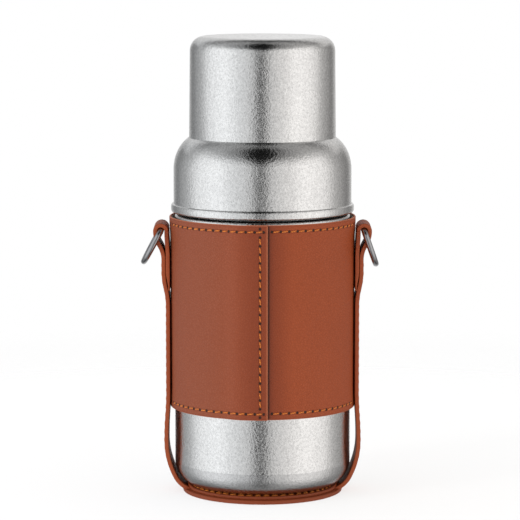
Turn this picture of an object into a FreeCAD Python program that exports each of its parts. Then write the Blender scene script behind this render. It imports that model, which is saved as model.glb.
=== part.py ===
import FreeCAD, Part
import math
import os

# A vacuum flask in a leather carrier: a double-wall steel bottle, a screw-on shoulder, a pour-through
# stopper and a screw-on drinking cup, carried in a sewn sleeve with a base strap and two D-rings.
# Millimetres. +Z is up, the origin is the centre of the underside of the base strap, -Y is the front.

# ------------------------------------------------------------------ driving dimensions
# leather carrier
strap_width = 20.0
strap_thickness = 2.0
seat_inset = 3.9                # the round seat under the bottle is smaller than it by this much
base_lining_thickness = 1.6
base_lining_inset = 0.6
arm_bend_radius = 12.9          # where an arm turns up off the seat
arm_bend_angle = 62.0
arm_sweep_radius = 38.9         # the slower bend that brings the arm upright
arm_sway_height = 26.0          # height over which the arm leans back in to the sleeve
sleeve_drop = 1.4               # the sleeve's top, below the top of the bottle's body
sleeve_height = 95.6
leather_thickness = 1.2
sleeve_lining_thickness = 0.4
lining_inset = 0.5              # lining stops short of the sleeve's edges
sleeve_clearance = 0.5          # radial, between bottle and lining
seam_overlap_right = 1.5        # the flap's edge, right of the centre line
seam_tuck = 8.0                 # how far the under edge is tucked in, left of the centre line
seam_ramp = 9.0                 # length over which the flap climbs over the under edge
glue_gap = 0.1

# D-rings and the strap loops that hold them
ring_wire = 3.0
ring_inner_width = 21.0
ring_depth = 18.4               # bar centre to the far side of the bow
ring_corner = 3.0
ring_bar_drop = 6.9             # below the sleeve's top
ring_tilt_left = 28.5           # from hanging straight down, outwards
ring_tilt_right = 19.5
loop_clearance = 0.3
loop_standoff = 0.65            # how far the loop holds its ring off the arm
fold_length = 29.9              # the folded-over strap end stops this far below the ring's bar
fold_gap = 0.15                 # between the two layers of the fold
fold_lead = 8.0                 # the outer layer starts to lean out this far below the fold's pared end
fold_lean_height = 18.0

# stitching
stitch_pitch = 4.2
stitch_length = 2.7
thread_radius = 0.3
thread_lift = 0.05              # how far a stitch lies off the leather
hem_margin = 3.2                # from the sleeve's edge to its stitches
seam_stitch_inset = 3.5         # from the flap's edge to its stitches
strap_stitch_margin = 2.2
base_stitch_margin = 2.4

# bottle
bottle_radius = 43.9
shell_wall = 0.6
base_corner_radius = 12.0
body_height = 136.6             # underside to the top of the rolled-in shoulder
body_roll_radius = 2.2
base_recess_radius = 26.0
base_recess_depth = 2.5
vacuum_gap = 3.4
vessel_wall = 0.5
vessel_floor_gap = 3.5
foil_thickness = 0.1
foil_standoff = 0.4
getter_radius = 5.0
getter_height = 1.6
seal_disc_radius = 7.0
seal_disc_thickness = 0.8

# mouth thread, between bottle and shoulder
mouth_inset = 5.0               # root of the thread, inside the bottle's radius
mouth_wall = 0.8
mouth_height = 13.6
mouth_pitch = 5.0
mouth_starts = 2
mouth_tooth = 1.1

# shoulder (the dome and what is moulded inside it)
shoulder_gap = 0.6              # parting line above the bottle's body
shoulder_overhang = 0.4         # the dome's radius is larger than the bottle's by this much
bead_centre_rise = 2.1
bead_section_radius = 2.1
bead_proud = 1.3
dome_radius = 18.0
dome_centre_rise = 21.3         # centre of the dome's round, above the parting line
liner_side_gap = 0.4
liner_wall = 3.0
shoulder_seal_thickness = 2.0
shoulder_seal_width = 2.4
neck_root_radius = 30.4
neck_wall = 4.4
neck_height = 11.9              # above the dome's top
neck_flange_width = 3.0
neck_flange_gap = 0.385         # between the neck's flange and the dome above it
neck_flange_thickness = 2.4
trim_thickness = 0.9
trim_width = 3.2

# threads that the cup and the stopper share
lid_pitch = 4.0
lid_starts = 3
lid_tooth = 1.2
stopper_tooth = 1.0
thread_clearance = 0.4
tooth_root_width = 1.7
tooth_crest_width = 0.9
lug_angle = 55.0
thread_start = 20.0             # every thread starts this far round from +X

# stopper and its valve
stopper_seal_thickness = 1.4
stopper_depth = 30.0            # below the neck's rim
stopper_wall = 2.2
stopper_floor = 2.2
stopper_flange_inset = 1.0      # from the neck's outside
stopper_flange_thickness = 2.8
cover_thickness = 3.0
cover_inset = 0.8               # from the stopper's flange
pour_slot_margin_in = 2.4       # from the button
pour_slot_margin_out = 1.8      # from the stopper's bore
pour_slot_angle = 56.0
button_radius = 12.8
button_rise = 3.6               # how far the button stands above the cover
button_travel = 5.0
button_wall = 1.5
button_clearance = 0.4
stem_radius = 2.0
stem_clearance = 0.15
valve_port_radius = 8.0
valve_seal_radius = 11.0
valve_seal_thickness = 2.0
valve_plate_thickness = 2.0
valve_gap = 0.2
guide_rise = 16.0               # above the stopper's underside
guide_thickness = 2.5
guide_boss_radius = 8.6
spring_wire = 0.9
spring_radius = 6.6
spring_turns = 6.0

# drinking cup
cup_bottom_drop = 2.3           # the cup's rim, below the dome's top
cup_height = 50.2
cup_overhang = 6.1              # the cup's radius is larger than the neck's by this much
cup_taper = 0.5                 # the cup is this much smaller in radius at the top
cup_corner_radius = 7.0
cup_crown = 0.4
cup_wall = 0.6
cup_liner_inset = 1.9           # from the cup's outside
cup_liner_corner = 6.0
cup_top_gap = 1.9
cup_seal_thickness = 1.2
cup_seal_width = 1.6
cup_ring_height = 13.7
fit_gap = 0.1                   # between faces that seat on each other across a joint

# ------------------------------------------------------------------ derived places
base_radius = bottle_radius - seat_inset
bottle_z = strap_thickness + base_lining_thickness
body_top_z = bottle_z + body_height
mouth_root_radius = bottle_radius - mouth_inset
weld_z = bottle_z + base_corner_radius
lip_z = body_top_z + mouth_height
lining_radius = bottle_radius + sleeve_clearance
leather_radius = lining_radius + sleeve_lining_thickness
sleeve_radius = leather_radius + leather_thickness
sleeve_top_z = body_top_z - sleeve_drop
sleeve_bottom_z = sleeve_top_z - sleeve_height
ring_bar_z = sleeve_top_z - ring_bar_drop
fold_end_z = ring_bar_z - fold_length
fold_start_z = fold_end_z - fold_lead
shoulder_z = body_top_z + shoulder_gap
shoulder_radius = bottle_radius + shoulder_overhang
dome_centre_z = shoulder_z + dome_centre_rise
dome_centre_r = shoulder_radius - dome_radius
dome_top_z = dome_centre_z + dome_radius
neck_bore_radius = neck_root_radius - neck_wall
neck_top_z = dome_top_z + neck_height
neck_flange_radius = neck_root_radius + neck_flange_width
liner_bore_radius = mouth_root_radius + mouth_tooth + thread_clearance
liner_ceiling_z = lip_z + shoulder_seal_thickness + 2 * fit_gap
arm_inner_x = sleeve_radius + 0.05
ring_bar_x = arm_inner_x + strap_thickness + loop_standoff + loop_clearance + ring_wire / 2
stopper_bottom_z = neck_top_z - stopper_depth
stopper_flange_radius = neck_root_radius - stopper_flange_inset
cover_radius = stopper_flange_radius - cover_inset
guide_z = stopper_bottom_z + guide_rise
stopper_seal_z = neck_top_z + fit_gap
flange_z = stopper_seal_z + stopper_seal_thickness + fit_gap
cover_z = flange_z + stopper_flange_thickness
button_top_z = cover_z + cover_thickness + button_rise
stopper_radius = neck_bore_radius - stopper_tooth - thread_clearance
stopper_bore_radius = stopper_radius - stopper_wall
pour_slot_inner = button_radius + pour_slot_margin_in
pour_slot_outer = stopper_bore_radius - pour_slot_margin_out
cup_bottom_z = dome_top_z - cup_bottom_drop
cup_radius = neck_root_radius + cup_overhang
cup_liner_radius = cup_radius - cup_liner_inset
lid_lead = lid_pitch * lid_starts
mouth_lead = mouth_pitch * mouth_starts
ring_bar_length = ring_inner_width + ring_wire

UP = FreeCAD.Vector(0, 0, 1)
ORIGIN = FreeCAD.Vector(0, 0, 0)


def dome_z(radius, inside=0.0):
    """Height of the dome's outside, or of a surface inside it, at a distance from the axis."""
    out = max(0.0, radius - dome_centre_r)
    return dome_centre_z + math.sqrt((dome_radius - inside) ** 2 - out ** 2)


def neck_flange_z():
    return dome_z(neck_flange_radius, shell_wall) - neck_flange_gap - neck_flange_thickness


# ------------------------------------------------------------------ outlines in the X-Z plane
def point(x, z, y=0.0):
    return FreeCAD.Vector(x, y, z)


def corner_arc(before, corner, after, radius):
    """Start, middle and end of the round that replaces a corner, or None for a sharp one."""
    if radius <= 0:
        return None
    a = (before - corner).normalize()
    b = (after - corner).normalize()
    half = a.getAngle(b) / 2
    reach = radius / math.tan(half)
    towards = (a + b).normalize()
    centre = corner + towards * (radius / math.sin(half))
    return corner + a * reach, centre - towards * radius, corner + b * reach


def rounded_face(corners):
    """A face from (x, z, corner radius) points, in order round the outline."""
    places = [point(x, z) for x, z, _ in corners]
    count = len(corners)
    edges, starts, ends = [], [], []
    for i, (_, _, radius) in enumerate(corners):
        arc = corner_arc(places[i - 1], places[i], places[(i + 1) % count], radius)
        if arc:
            edges.append(Part.Arc(*arc).toShape())
        starts.append(arc[0] if arc else places[i])
        ends.append(arc[2] if arc else places[i])
    for i in range(count):
        here, there = ends[i], starts[(i + 1) % count]
        if (there - here).Length > 1e-6:
            edges.append(Part.makeLine(here, there))
    return Part.Face(Part.Wire(Part.__sortEdges__(edges)))


def turned(corners):
    """A solid of revolution about Z from (radius, z, corner radius) points."""
    return rounded_face(corners).revolve(ORIGIN, UP, 360)


def ring(inner, outer, low, high, edge=0.0):
    """A plain ring, or a disc when inner is 0, with its outside edges rounded."""
    return turned([(inner, low, 0), (outer, low, edge), (outer, high, edge), (inner, high, 0)])


class Strip:
    """A band of even thickness whose middle line is made of straight runs and tangent arcs."""

    def __init__(self, x, z, heading):
        self.x, self.z, self.heading = x, z, heading
        self.runs = []

    def straight(self, length):
        if length > 1e-6:
            self.runs.append((self.x, self.z, self.heading, length, 0.0))
            self.x += length * math.cos(self.heading)
            self.z += length * math.sin(self.heading)

    def turn(self, radius, degrees):
        """Left for positive degrees, right for negative."""
        angle = math.radians(degrees)
        length = radius * abs(angle)
        bend = math.copysign(1 / radius, angle)
        self.runs.append((self.x, self.z, self.heading, length, bend))
        self.x, self.z, self.heading = self.place(self.runs[-1], length)

    def sway(self, along, across):
        """Two equal and opposite arcs that move the line sideways, left for a positive across."""
        angle = 2 * math.atan2(abs(across), along)
        radius = along / (2 * math.sin(angle))
        side = math.copysign(math.degrees(angle), across)
        self.turn(radius, side)
        self.turn(radius, -side)

    @staticmethod
    def place(run, distance, offset=0.0):
        """(x, z, heading) at a distance along a run, offset to the left of it."""
        x, z, heading, _, bend = run
        if bend:
            now = heading + distance * bend
            x += (math.sin(now) - math.sin(heading)) / bend
            z += (math.cos(heading) - math.cos(now)) / bend
        else:
            now = heading
            x += distance * math.cos(heading)
            z += distance * math.sin(heading)
        return x - offset * math.sin(now), z + offset * math.cos(now), now

    def side(self, offset):
        edges = []
        for run in self.runs:
            a, m, b = (point(*self.place(run, run[3] * share, offset)[:2]) for share in (0, 0.5, 1))
            edges.append(Part.Arc(a, m, b).toShape() if run[4] else Part.makeLine(a, b))
        return edges

    def length(self):
        return sum(run[3] for run in self.runs)

    def at(self, distance, offset=0.0):
        for run in self.runs:
            if distance <= run[3]:
                return self.place(run, distance, offset)
            distance -= run[3]
        return self.place(self.runs[-1], self.runs[-1][3], offset)

    def part(self, first, last):
        """A strip made of some of this one's runs."""
        part = Strip(0, 0, 0)
        part.runs = self.runs[first:last]
        return part

    def band(self, thickness, width):
        """The solid band, centred on Y."""
        left, right = self.side(thickness / 2), self.side(-thickness / 2)
        ends = [
            Part.makeLine(point(*self.at(s, thickness / 2)[:2]), point(*self.at(s, -thickness / 2)[:2]))
            for s in (0, self.length())
        ]
        face = Part.Face(Part.Wire(Part.__sortEdges__(left + right + ends)))
        face.translate(FreeCAD.Vector(0, -width / 2, 0))
        return face.extrude(FreeCAD.Vector(0, width, 0))


# ------------------------------------------------------------------ threads and other repeated forms
def tooth(root, crest, low, turns, lead):
    """One helical tooth from a root radius to a crest radius, outwards or inwards."""
    buried = root - math.copysign(0.3, crest - root)
    spine = Part.makeHelix(lead, lead * turns, root)
    half_root, half_crest = tooth_root_width / 2, tooth_crest_width / 2
    profile = Part.makePolygon([
        point(buried, -half_root),
        point(crest, -half_crest),
        point(crest, half_crest),
        point(buried, half_root),
        point(buried, -half_root),
    ])
    solid = Part.Wire(spine.Edges).makePipeShell([profile], True, True)
    solid = Part.Solid(Part.Shell(solid.Faces)) if solid.ShapeType != "Solid" else solid
    solid.translate(FreeCAD.Vector(0, 0, low))
    return solid


def thread(body, root, crest, low, high, lead, starts, first_angle=0.0, lug=None):
    """body with a thread of several starts fused on, running from low to high, or with one lug per start."""
    turns = lug / 360 if lug else (high - low) / lead
    one = tooth(root, crest, low, turns, lead)
    for i in range(starts):
        copy = one.copy()
        copy.rotate(ORIGIN, UP, thread_start + first_angle + 360 * i / starts)
        body = body.fuse(copy)
    return body.removeSplitter()


def stitch(place, along):
    """One stitch: a short length of thread centred on a place."""
    direction = FreeCAD.Vector(along).normalize()
    return Part.makeCylinder(
        thread_radius, stitch_length, place - direction * (stitch_length / 2), direction
    )


def on_circle(radius, degrees, z):
    """A point on a circle about Z. 0 degrees is the front, and degrees grow towards +X."""
    a = math.radians(degrees)
    return FreeCAD.Vector(radius * math.sin(a), -radius * math.cos(a), z)


def front_degrees(x, radius):
    """Where a point of the front that lies x from the centre line is on the circle."""
    return math.degrees(math.asin(x / radius))


def clear_of_arms(place):
    """Whether a place on the sleeve or the seat is beside the strap's arms and not under them."""
    return abs(place.y) > (strap_width + stitch_pitch) / 2


# ------------------------------------------------------------------ leather carrier
LEAN, LOOP, FOLD = 6, 9, 12      # the first runs of the lean, the loop and the folded-over end


def arm_strip():
    """Middle line of the right half of the strap: half the seat, up the side, round the ring, back down."""
    half = strap_thickness / 2
    side_x = arm_inner_x + half
    fold_x = side_x + strap_thickness + fold_gap
    loop_radius = ring_wire / 2 + loop_clearance + half
    strip = Strip(0, half, 0)
    strip.straight(arm_bend_start())
    strip.turn(arm_bend_radius, arm_bend_angle)
    strip.turn(arm_sweep_radius, 90 - arm_bend_angle)
    strip.sway(arm_sway_height, strip.x - side_x)
    strip.straight(fold_start_z - strip.z)
    strip.sway(fold_lean_height, side_x - fold_x)
    loop_x = ring_bar_x + loop_radius
    loop_rise = 3.5 * (loop_x - fold_x)
    strip.straight(ring_bar_z - loop_rise - strip.z)
    strip.sway(loop_rise, fold_x - loop_x)
    strip.turn(loop_radius, 180)
    strip.sway(loop_rise, side_x - strip.x)
    strip.straight(strip.z - fold_end_z)
    return strip


def arm_bend_start():
    """How far out the flat seat runs, so that the arm comes upright just outside the sleeve's line."""
    steep = math.radians(arm_bend_angle)
    reach = arm_bend_radius * math.sin(steep) + arm_sweep_radius * (1 - math.sin(steep))
    bulge = 1.0
    return arm_inner_x + strap_thickness / 2 + bulge - reach


def both_sides(right):
    """A right-hand solid and its mirror image."""
    return [right, right.mirror(ORIGIN, FreeCAD.Vector(1, 0, 0))]


def arm():
    """The right half of the strap, its folded-over end pared to fit behind the outer layer."""
    strip = arm_strip()
    outer = strip.part(0, FOLD).band(strap_thickness, strap_width)
    folded = strip.part(FOLD, None).band(strap_thickness, strap_width)
    leaning = strip.part(LEAN, LOOP - 1).band(strap_thickness + 2 * fold_gap, strap_width + 1)
    return outer.fuse(folded.cut(leaning))


def carrier_strap():
    right, left = both_sides(arm())
    seat = ring(0, base_radius, 0, strap_thickness, 0.5)
    return seat.fuse([right, left]).removeSplitter()


def base_lining():
    """The upper disc of the seat, pared away where the arms rise through its edge."""
    disc = ring(0, base_radius - base_lining_inset, strap_thickness, bottle_z, 0.4)
    rising = arm_strip().part(1, 3).band(strap_thickness + 2 * glue_gap, strap_width + 2 * glue_gap)
    return disc.cut(both_sides(rising))


class Wrap:
    """Cross-section of the sleeve: once round, its left end climbing over the tucked-in right end."""

    lift = leather_thickness + glue_gap
    tuck = front_degrees(-seam_tuck, leather_radius)
    top = front_degrees(-seam_tuck - 2 * leather_thickness, leather_radius) + 360
    foot = top - math.degrees(seam_ramp / leather_radius)
    edge = front_degrees(seam_overlap_right, sleeve_radius) + 360

    @classmethod
    def line(cls, radius, start):
        """One face of the sheet, from a start angle to the flap's edge, at z = 0."""
        return [
            circle_arc(radius, start, cls.foot),
            cls.climb(radius),
            circle_arc(radius + cls.lift, cls.top, cls.edge),
        ]

    @classmethod
    def climb(cls, radius):
        """A smooth step outwards, tangent to the circle it leaves and the one it joins."""
        third = seam_ramp / 3
        low, high = on_circle(radius, cls.foot, 0), on_circle(radius + cls.lift, cls.top, 0)
        curve = Part.BezierCurve()
        curve.setPoles([
            low,
            low + on_circle(third, cls.foot + 90, 0),
            high - on_circle(third, cls.top + 90, 0),
            high,
        ])
        return curve.toShape()


def circle_arc(radius, start, end):
    return Part.Arc(*(on_circle(radius, d, 0) for d in (start, (start + end) / 2, end))).toShape()


def sleeve_panel():
    """The sheet of leather, wrapped and overlapped."""
    edges = Wrap.line(leather_radius, Wrap.tuck) + Wrap.line(sleeve_radius, Wrap.tuck)
    for radius, degrees in ((leather_radius, Wrap.tuck), (leather_radius + Wrap.lift, Wrap.edge)):
        edges.append(Part.makeLine(
            on_circle(radius, degrees, 0), on_circle(radius + leather_thickness, degrees, 0)
        ))
    face = Part.Face(Part.Wire(Part.__sortEdges__(edges)))
    face.translate(FreeCAD.Vector(0, 0, sleeve_bottom_z))
    return face.extrude(FreeCAD.Vector(0, 0, sleeve_height))


def sleeve_lining():
    return ring(lining_radius, leather_radius - 0.02, sleeve_bottom_z + lining_inset,
                sleeve_top_z - lining_inset)


def sleeve_stitching():
    """The two hems and the seam, lying on the leather."""
    on_leather = sleeve_radius + thread_radius + thread_lift
    start = Wrap.edge - 360 + math.degrees(stitch_pitch / 2 / sleeve_radius)
    hem = Part.Wire(Wrap.line(on_leather, start)).discretize(Distance=stitch_pitch)
    stitches = []
    for z in (sleeve_bottom_z + hem_margin, sleeve_top_z - hem_margin):
        rise = FreeCAD.Vector(0, 0, z)
        for here, there in zip(hem[:-2], hem[1:-1]):
            if clear_of_arms((here + there) / 2):
                stitches.append(stitch((here + there) / 2 + rise, there - here))
    seam = front_degrees(seam_overlap_right - seam_stitch_inset, sleeve_radius)
    rows = int((sleeve_height - 2 * hem_margin) / stitch_pitch)
    for i in range(rows):
        z = sleeve_bottom_z + hem_margin + stitch_pitch * (i + 0.5)
        stitches.append(stitch(on_circle(on_leather + Wrap.lift, seam, z), UP))
    return Part.makeCompound(stitches)


def strap_stitching():
    """A row along each edge of each arm, on its outer face, from the seat up to the loop."""
    strip = arm_strip()
    first = base_radius
    last = strip.part(0, LOOP).length()
    outside = -(strap_thickness / 2 + thread_radius + thread_lift)
    stitches = []
    for i in range(int((last - first) / stitch_pitch)):
        x, z, heading = strip.at(first + stitch_pitch * (i + 0.5), outside)
        for y in (-1, 1):
            place = point(x, z, y * (strap_width / 2 - strap_stitch_margin))
            stitches += both_sides(stitch(place, point(math.cos(heading), math.sin(heading))))
    return Part.makeCompound(stitches)


def base_stitching():
    """Round the seat's edge, on the lining, clear of the bottle's rounded corner."""
    radius = base_radius - base_lining_inset - base_stitch_margin
    count = int(2 * math.pi * radius / stitch_pitch)
    stitches = []
    for i in range(count):
        degrees = 360 * (i + 0.5) / count
        place = on_circle(radius, degrees, bottle_z + thread_radius + thread_lift)
        if clear_of_arms(place):
            stitches.append(stitch(place, on_circle(1, degrees + 90, 0)))
    return Part.makeCompound(stitches)


def d_ring(tilt, side):
    """A wire D hanging from its straight bar. side is 1 for the right and -1 for the left."""
    wire = ring_wire / 2
    half = ring_bar_length / 2
    leg = ring_depth - half
    straight_leg = leg - ring_corner
    pieces = [
        Part.makeCylinder(wire, 2 * (half - ring_corner), point(0, 0, ring_corner - half),
                          FreeCAD.Vector(0, 1, 0)),
        Part.makeTorus(half, wire, point(0, -leg), FreeCAD.Vector(1, 0, 0))
        .common(Part.makeBox(4 * wire, 4 * half, 2 * half, point(-2 * wire, -leg - 2 * half, -2 * half))),
    ]
    for y in (-1, 1):
        pieces.append(Part.makeCylinder(wire, straight_leg, point(0, -leg, y * half), UP))
        corner = Part.makeTorus(ring_corner, wire, point(0, -ring_corner, y * (half - ring_corner)),
                                FreeCAD.Vector(1, 0, 0))
        low_y = half - ring_corner if y > 0 else -half - wire
        pieces.append(corner.common(Part.makeBox(
            4 * wire, ring_corner + wire, ring_corner + wire, point(-2 * wire, -ring_corner, low_y)
        )))
    solid = pieces[0].fuse(pieces[1:]).removeSplitter()
    solid.rotate(ORIGIN, FreeCAD.Vector(0, 1, 0), -side * tilt)
    solid.translate(point(side * ring_bar_x, ring_bar_z))
    return solid


# ------------------------------------------------------------------ bottle
def outer_shell():
    """The body's tube: up from the weld, rolled in at the top, ending at the mouth ring."""
    inner = bottle_radius - shell_wall
    hole = mouth_root_radius + fit_gap
    return turned([
        (bottle_radius, weld_z, 0),
        (bottle_radius, body_top_z, body_roll_radius),
        (hole, body_top_z, 0),
        (hole, body_top_z - shell_wall, 0),
        (inner, body_top_z - shell_wall, body_roll_radius - shell_wall),
        (inner, weld_z, 0),
    ])


def base_shell():
    """The pressed cup that closes the bottom, with a shallow recess under it."""
    inner = bottle_radius - shell_wall
    inside_z = bottle_z + shell_wall
    recess_z = bottle_z + base_recess_depth
    return turned([
        (bottle_radius, weld_z, 0),
        (bottle_radius, bottle_z, base_corner_radius),
        (base_recess_radius, bottle_z, 1.2),
        (base_recess_radius, recess_z, 0.6),
        (0, recess_z, 0),
        (0, recess_z + shell_wall, 0),
        (base_recess_radius + shell_wall, recess_z + shell_wall, 1.2),
        (base_recess_radius + shell_wall, inside_z, 0.6),
        (inner, inside_z, base_corner_radius - shell_wall),
        (inner, weld_z, 0),
    ])


def vessel_radius():
    return bottle_radius - shell_wall - vacuum_gap


def vessel_floor_z():
    return bottle_z + base_recess_depth + shell_wall + vessel_floor_gap


def inner_vessel():
    """The liner that holds the drink, necked in under the mouth and turned out at the lip."""
    out = vessel_radius()
    inner = out - vessel_wall
    mouth_out = mouth_root_radius - mouth_wall - 0.02
    mouth_in = mouth_out - vessel_wall
    floor_z = vessel_floor_z()
    neck_z = body_top_z - 6.0
    corner = base_corner_radius - 2.0
    return turned([
        (0, floor_z, 0),
        (out, floor_z, corner),
        (out, neck_z, 1.5),
        (mouth_out, neck_z + 2.5, 1.5),
        (mouth_out, lip_z, 0),
        (mouth_in, lip_z, 0),
        (mouth_in, neck_z + 2.5, 1.5),
        (inner, neck_z, 1.5),
        (inner, floor_z + vessel_wall, corner - vessel_wall),
        (0, floor_z + vessel_wall, 0),
    ])


def mouth_ring():
    """The threaded ring that joins the two walls at the mouth."""
    inner = mouth_root_radius - mouth_wall
    body = ring(inner, mouth_root_radius, body_top_z - 2.0, lip_z, 0.3)
    return thread(body, mouth_root_radius, mouth_root_radius + mouth_tooth, body_top_z + 2.6,
                  lip_z - 1.8, mouth_lead, mouth_starts)


def heat_shield():
    """Thin copper wrap on the liner, inside the vacuum."""
    inner = vessel_radius() + foil_standoff
    low = vessel_floor_z() + base_corner_radius
    return ring(inner, inner + foil_thickness, low, body_top_z - 10.0)


def getter():
    """The pill under the liner that keeps the vacuum clean."""
    top = vessel_floor_z() - 0.05
    return ring(0, getter_radius, top - getter_height, top, 0.3)


def seal_disc():
    """The disc that closes the evacuation hole, in the recess under the base."""
    top = bottle_z + base_recess_depth - 0.02
    return ring(0, seal_disc_radius, top - seal_disc_thickness, top, 0.2)


# ------------------------------------------------------------------ shoulder
def shoulder_shell():
    """The domed steel skin with a rolled bead round its foot."""
    inner = shoulder_radius - shell_wall
    bead_z = shoulder_z + bead_centre_rise
    hole = neck_root_radius + thread_clearance
    skin = turned([
        (shoulder_radius, bead_z, 0),
        (shoulder_radius, dome_top_z, dome_radius),
        (0, dome_top_z, 0),
        (0, dome_top_z - shell_wall, 0),
        (inner, dome_top_z - shell_wall, dome_radius - shell_wall),
        (inner, bead_z, 0),
    ])
    bead_middle = shoulder_radius + bead_proud - bead_section_radius
    bead = Part.makeTorus(bead_middle, bead_section_radius, point(0, bead_z))
    bead = bead.cut(Part.makeCylinder(inner, 4 * bead_section_radius,
                                      point(0, bead_z - 2 * bead_section_radius)))
    pierced = Part.makeCylinder(hole, 3 * dome_radius, point(0, dome_centre_z))
    return skin.cut(pierced).fuse(bead).removeSplitter()


def shoulder_liner():
    """The moulding inside the dome: threaded skirt, ceiling over the mouth, and the pouring neck."""
    skirt = shoulder_radius - shell_wall - liner_side_gap
    flange = neck_flange_radius
    flange_low = neck_flange_z()
    ceiling_top = liner_ceiling_z + liner_wall
    body = turned([
        (liner_bore_radius, shoulder_z + 0.4, 0),
        (skirt, shoulder_z + 0.4, 0.3),
        (skirt, ceiling_top, 1.5),
        (neck_root_radius, ceiling_top, 1.0),
        (neck_root_radius, flange_low, 0),
        (flange, flange_low, 0.4),
        (flange, flange_low + neck_flange_thickness, 0.4),
        (neck_root_radius, flange_low + neck_flange_thickness, 0),
        (neck_root_radius, neck_top_z, 0.6),
        (neck_bore_radius, neck_top_z, 0.6),
        (neck_bore_radius, liner_ceiling_z, 0.6),
        (liner_bore_radius, liner_ceiling_z, 0),
    ])
    lug_z = body_top_z + 2.6 + mouth_pitch / 2 + 0.8
    lug_rise = mouth_lead * lug_angle / 360
    body = thread(body, liner_bore_radius, liner_bore_radius - mouth_tooth, lug_z,
                  lug_z + lug_rise, mouth_lead, mouth_starts, 360 * 0.8 / mouth_lead, lug_angle)
    cup_low = neck_thread_z()
    body = thread(body, neck_root_radius, neck_root_radius + lid_tooth, cup_low, neck_top_z - 1.8,
                  lid_lead, lid_starts)
    low, first = stopper_lug()
    return thread(body, neck_bore_radius, neck_bore_radius - stopper_tooth, low, 0, lid_lead,
                  lid_starts, first, lug_angle)


def neck_thread_z():
    return cup_ring_z() + 1.6


def stopper_thread_z():
    return stopper_bottom_z + 12.0


def lug_between(low, lead, pitch, rise):
    """Height and angle of a lug that lies half a pitch above a tooth, rise above the tooth's foot."""
    return low + pitch / 2 + rise, 360 * rise / lead


def stopper_lug():
    return lug_between(stopper_thread_z(), lid_lead, lid_pitch, 3.0)


def shoulder_insulation():
    """Foam in the space between the skin and the moulding."""
    low = liner_ceiling_z + liner_wall + 0.1
    high = neck_flange_z() - 0.1
    out = shoulder_radius - shell_wall - 0.6
    inner = neck_root_radius + 1.2
    corner = dome_radius - shell_wall - 0.6
    full = turned([
        (inner, low, 0),
        (out, low, 0),
        (out, dome_centre_z + corner, corner),
        (0, dome_centre_z + corner, 0),
        (0, low + 1.0, 0),
        (inner, low + 1.0, 0),
    ])
    keep = ring(inner, out + 1.0, low, high)
    return full.common(keep)


def shoulder_gasket():
    inner = mouth_root_radius - mouth_wall - vessel_wall
    low = lip_z + fit_gap
    return ring(inner, inner + shoulder_seal_width, low, low + shoulder_seal_thickness, 0.3)


def neck_trim_ring():
    """Covers the pierced edge of the dome round the neck."""
    inner = neck_root_radius + 0.1
    low = trim_z()
    return ring(inner, inner + trim_width, low, low + trim_thickness, 0.3)


def trim_z():
    return dome_z(neck_root_radius + thread_clearance) + 0.05


# ------------------------------------------------------------------ stopper
def stopper_gasket():
    inner = neck_bore_radius + 0.4
    return ring(inner, stopper_flange_radius - 0.3, stopper_seal_z,
                stopper_seal_z + stopper_seal_thickness, 0.3)


def stopper_body():
    """Threaded plug, open above, with the valve port in its floor and a flange that seats on the neck."""
    body = turned([
        (valve_port_radius, stopper_bottom_z, 0),
        (stopper_radius, stopper_bottom_z, 1.0),
        (stopper_radius, flange_z, 0),
        (stopper_flange_radius, flange_z, 0.5),
        (stopper_flange_radius, cover_z, 0.8),
        (stopper_bore_radius, cover_z, 0),
        (stopper_bore_radius, stopper_bottom_z + stopper_floor, 1.0),
        (valve_port_radius, stopper_bottom_z + stopper_floor, 0),
    ])
    return thread(body, stopper_radius, stopper_radius + stopper_tooth, stopper_thread_z(),
                  neck_top_z - 6.0, lid_lead, lid_starts)


def stopper_cover():
    """Lid of the stopper, with the button's hole and a pour slot on each side."""
    spigot = stopper_bore_radius - 0.15
    hole = button_radius + button_clearance
    top = cover_z + cover_thickness
    body = turned([
        (hole, cover_z, 0),
        (spigot - 1.5, cover_z, 0),
        (spigot - 1.5, cover_z - 3.5, 0),
        (spigot, cover_z - 3.5, 0),
        (spigot, cover_z, 0),
        (cover_radius, cover_z, 0.3),
        (cover_radius, top, 1.0),
        (hole, top, 0.4),
    ])
    slot = ring(pour_slot_inner, pour_slot_outer, cover_z - 1, top + 1)
    for start in (-pour_slot_angle / 2, 180 - pour_slot_angle / 2):
        wedge = Part.makeCylinder(cover_radius, cover_thickness + 4, point(0, cover_z - 2), UP,
                                  pour_slot_angle)
        wedge.rotate(ORIGIN, UP, start)
        body = body.cut(slot.common(wedge))
    return body


def stem_guide():
    """Spoked disc clipped across the stopper, which guides the stem and seats the spring."""
    rim = stopper_bore_radius - 0.1
    bore = stem_radius + stem_clearance
    body = ring(rim - 1.6, rim, guide_z, guide_z + guide_thickness)
    boss = ring(bore, guide_boss_radius, guide_z, guide_z + guide_thickness)
    for i in range(3):
        spoke = Part.makeBox(rim - guide_boss_radius, 3.0, guide_thickness,
                             point(guide_boss_radius - 0.4, guide_z, -1.5))
        spoke.rotate(ORIGIN, UP, 90 + 120 * i)
        body = body.fuse(spoke)
    return body.fuse(boss).removeSplitter()


def button_foot_z():
    return cover_z - valve_gap - button_wall


def pour_button():
    """Hollow cap with a foot flange that stops it under the cover and a boss for the stem."""
    top = button_top_z
    foot = button_foot_z()
    return turned([
        (stem_radius, foot, 0),
        (stem_radius + 2.0, foot, 0.2),
        (stem_radius + 2.0, top - 2.0, 0),
        (button_radius - button_wall, top - 2.0, 0.8),
        (button_radius - button_wall, foot, 0),
        (button_radius + button_wall, foot, 0.2),
        (button_radius + button_wall, foot + button_wall, 0.2),
        (button_radius, foot + button_wall, 0),
        (button_radius, top, 1.2),
        (0, top, 0),
        (0, top - 2.0, 0),
        (stem_radius, top - 2.0, 0),
    ])


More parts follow.
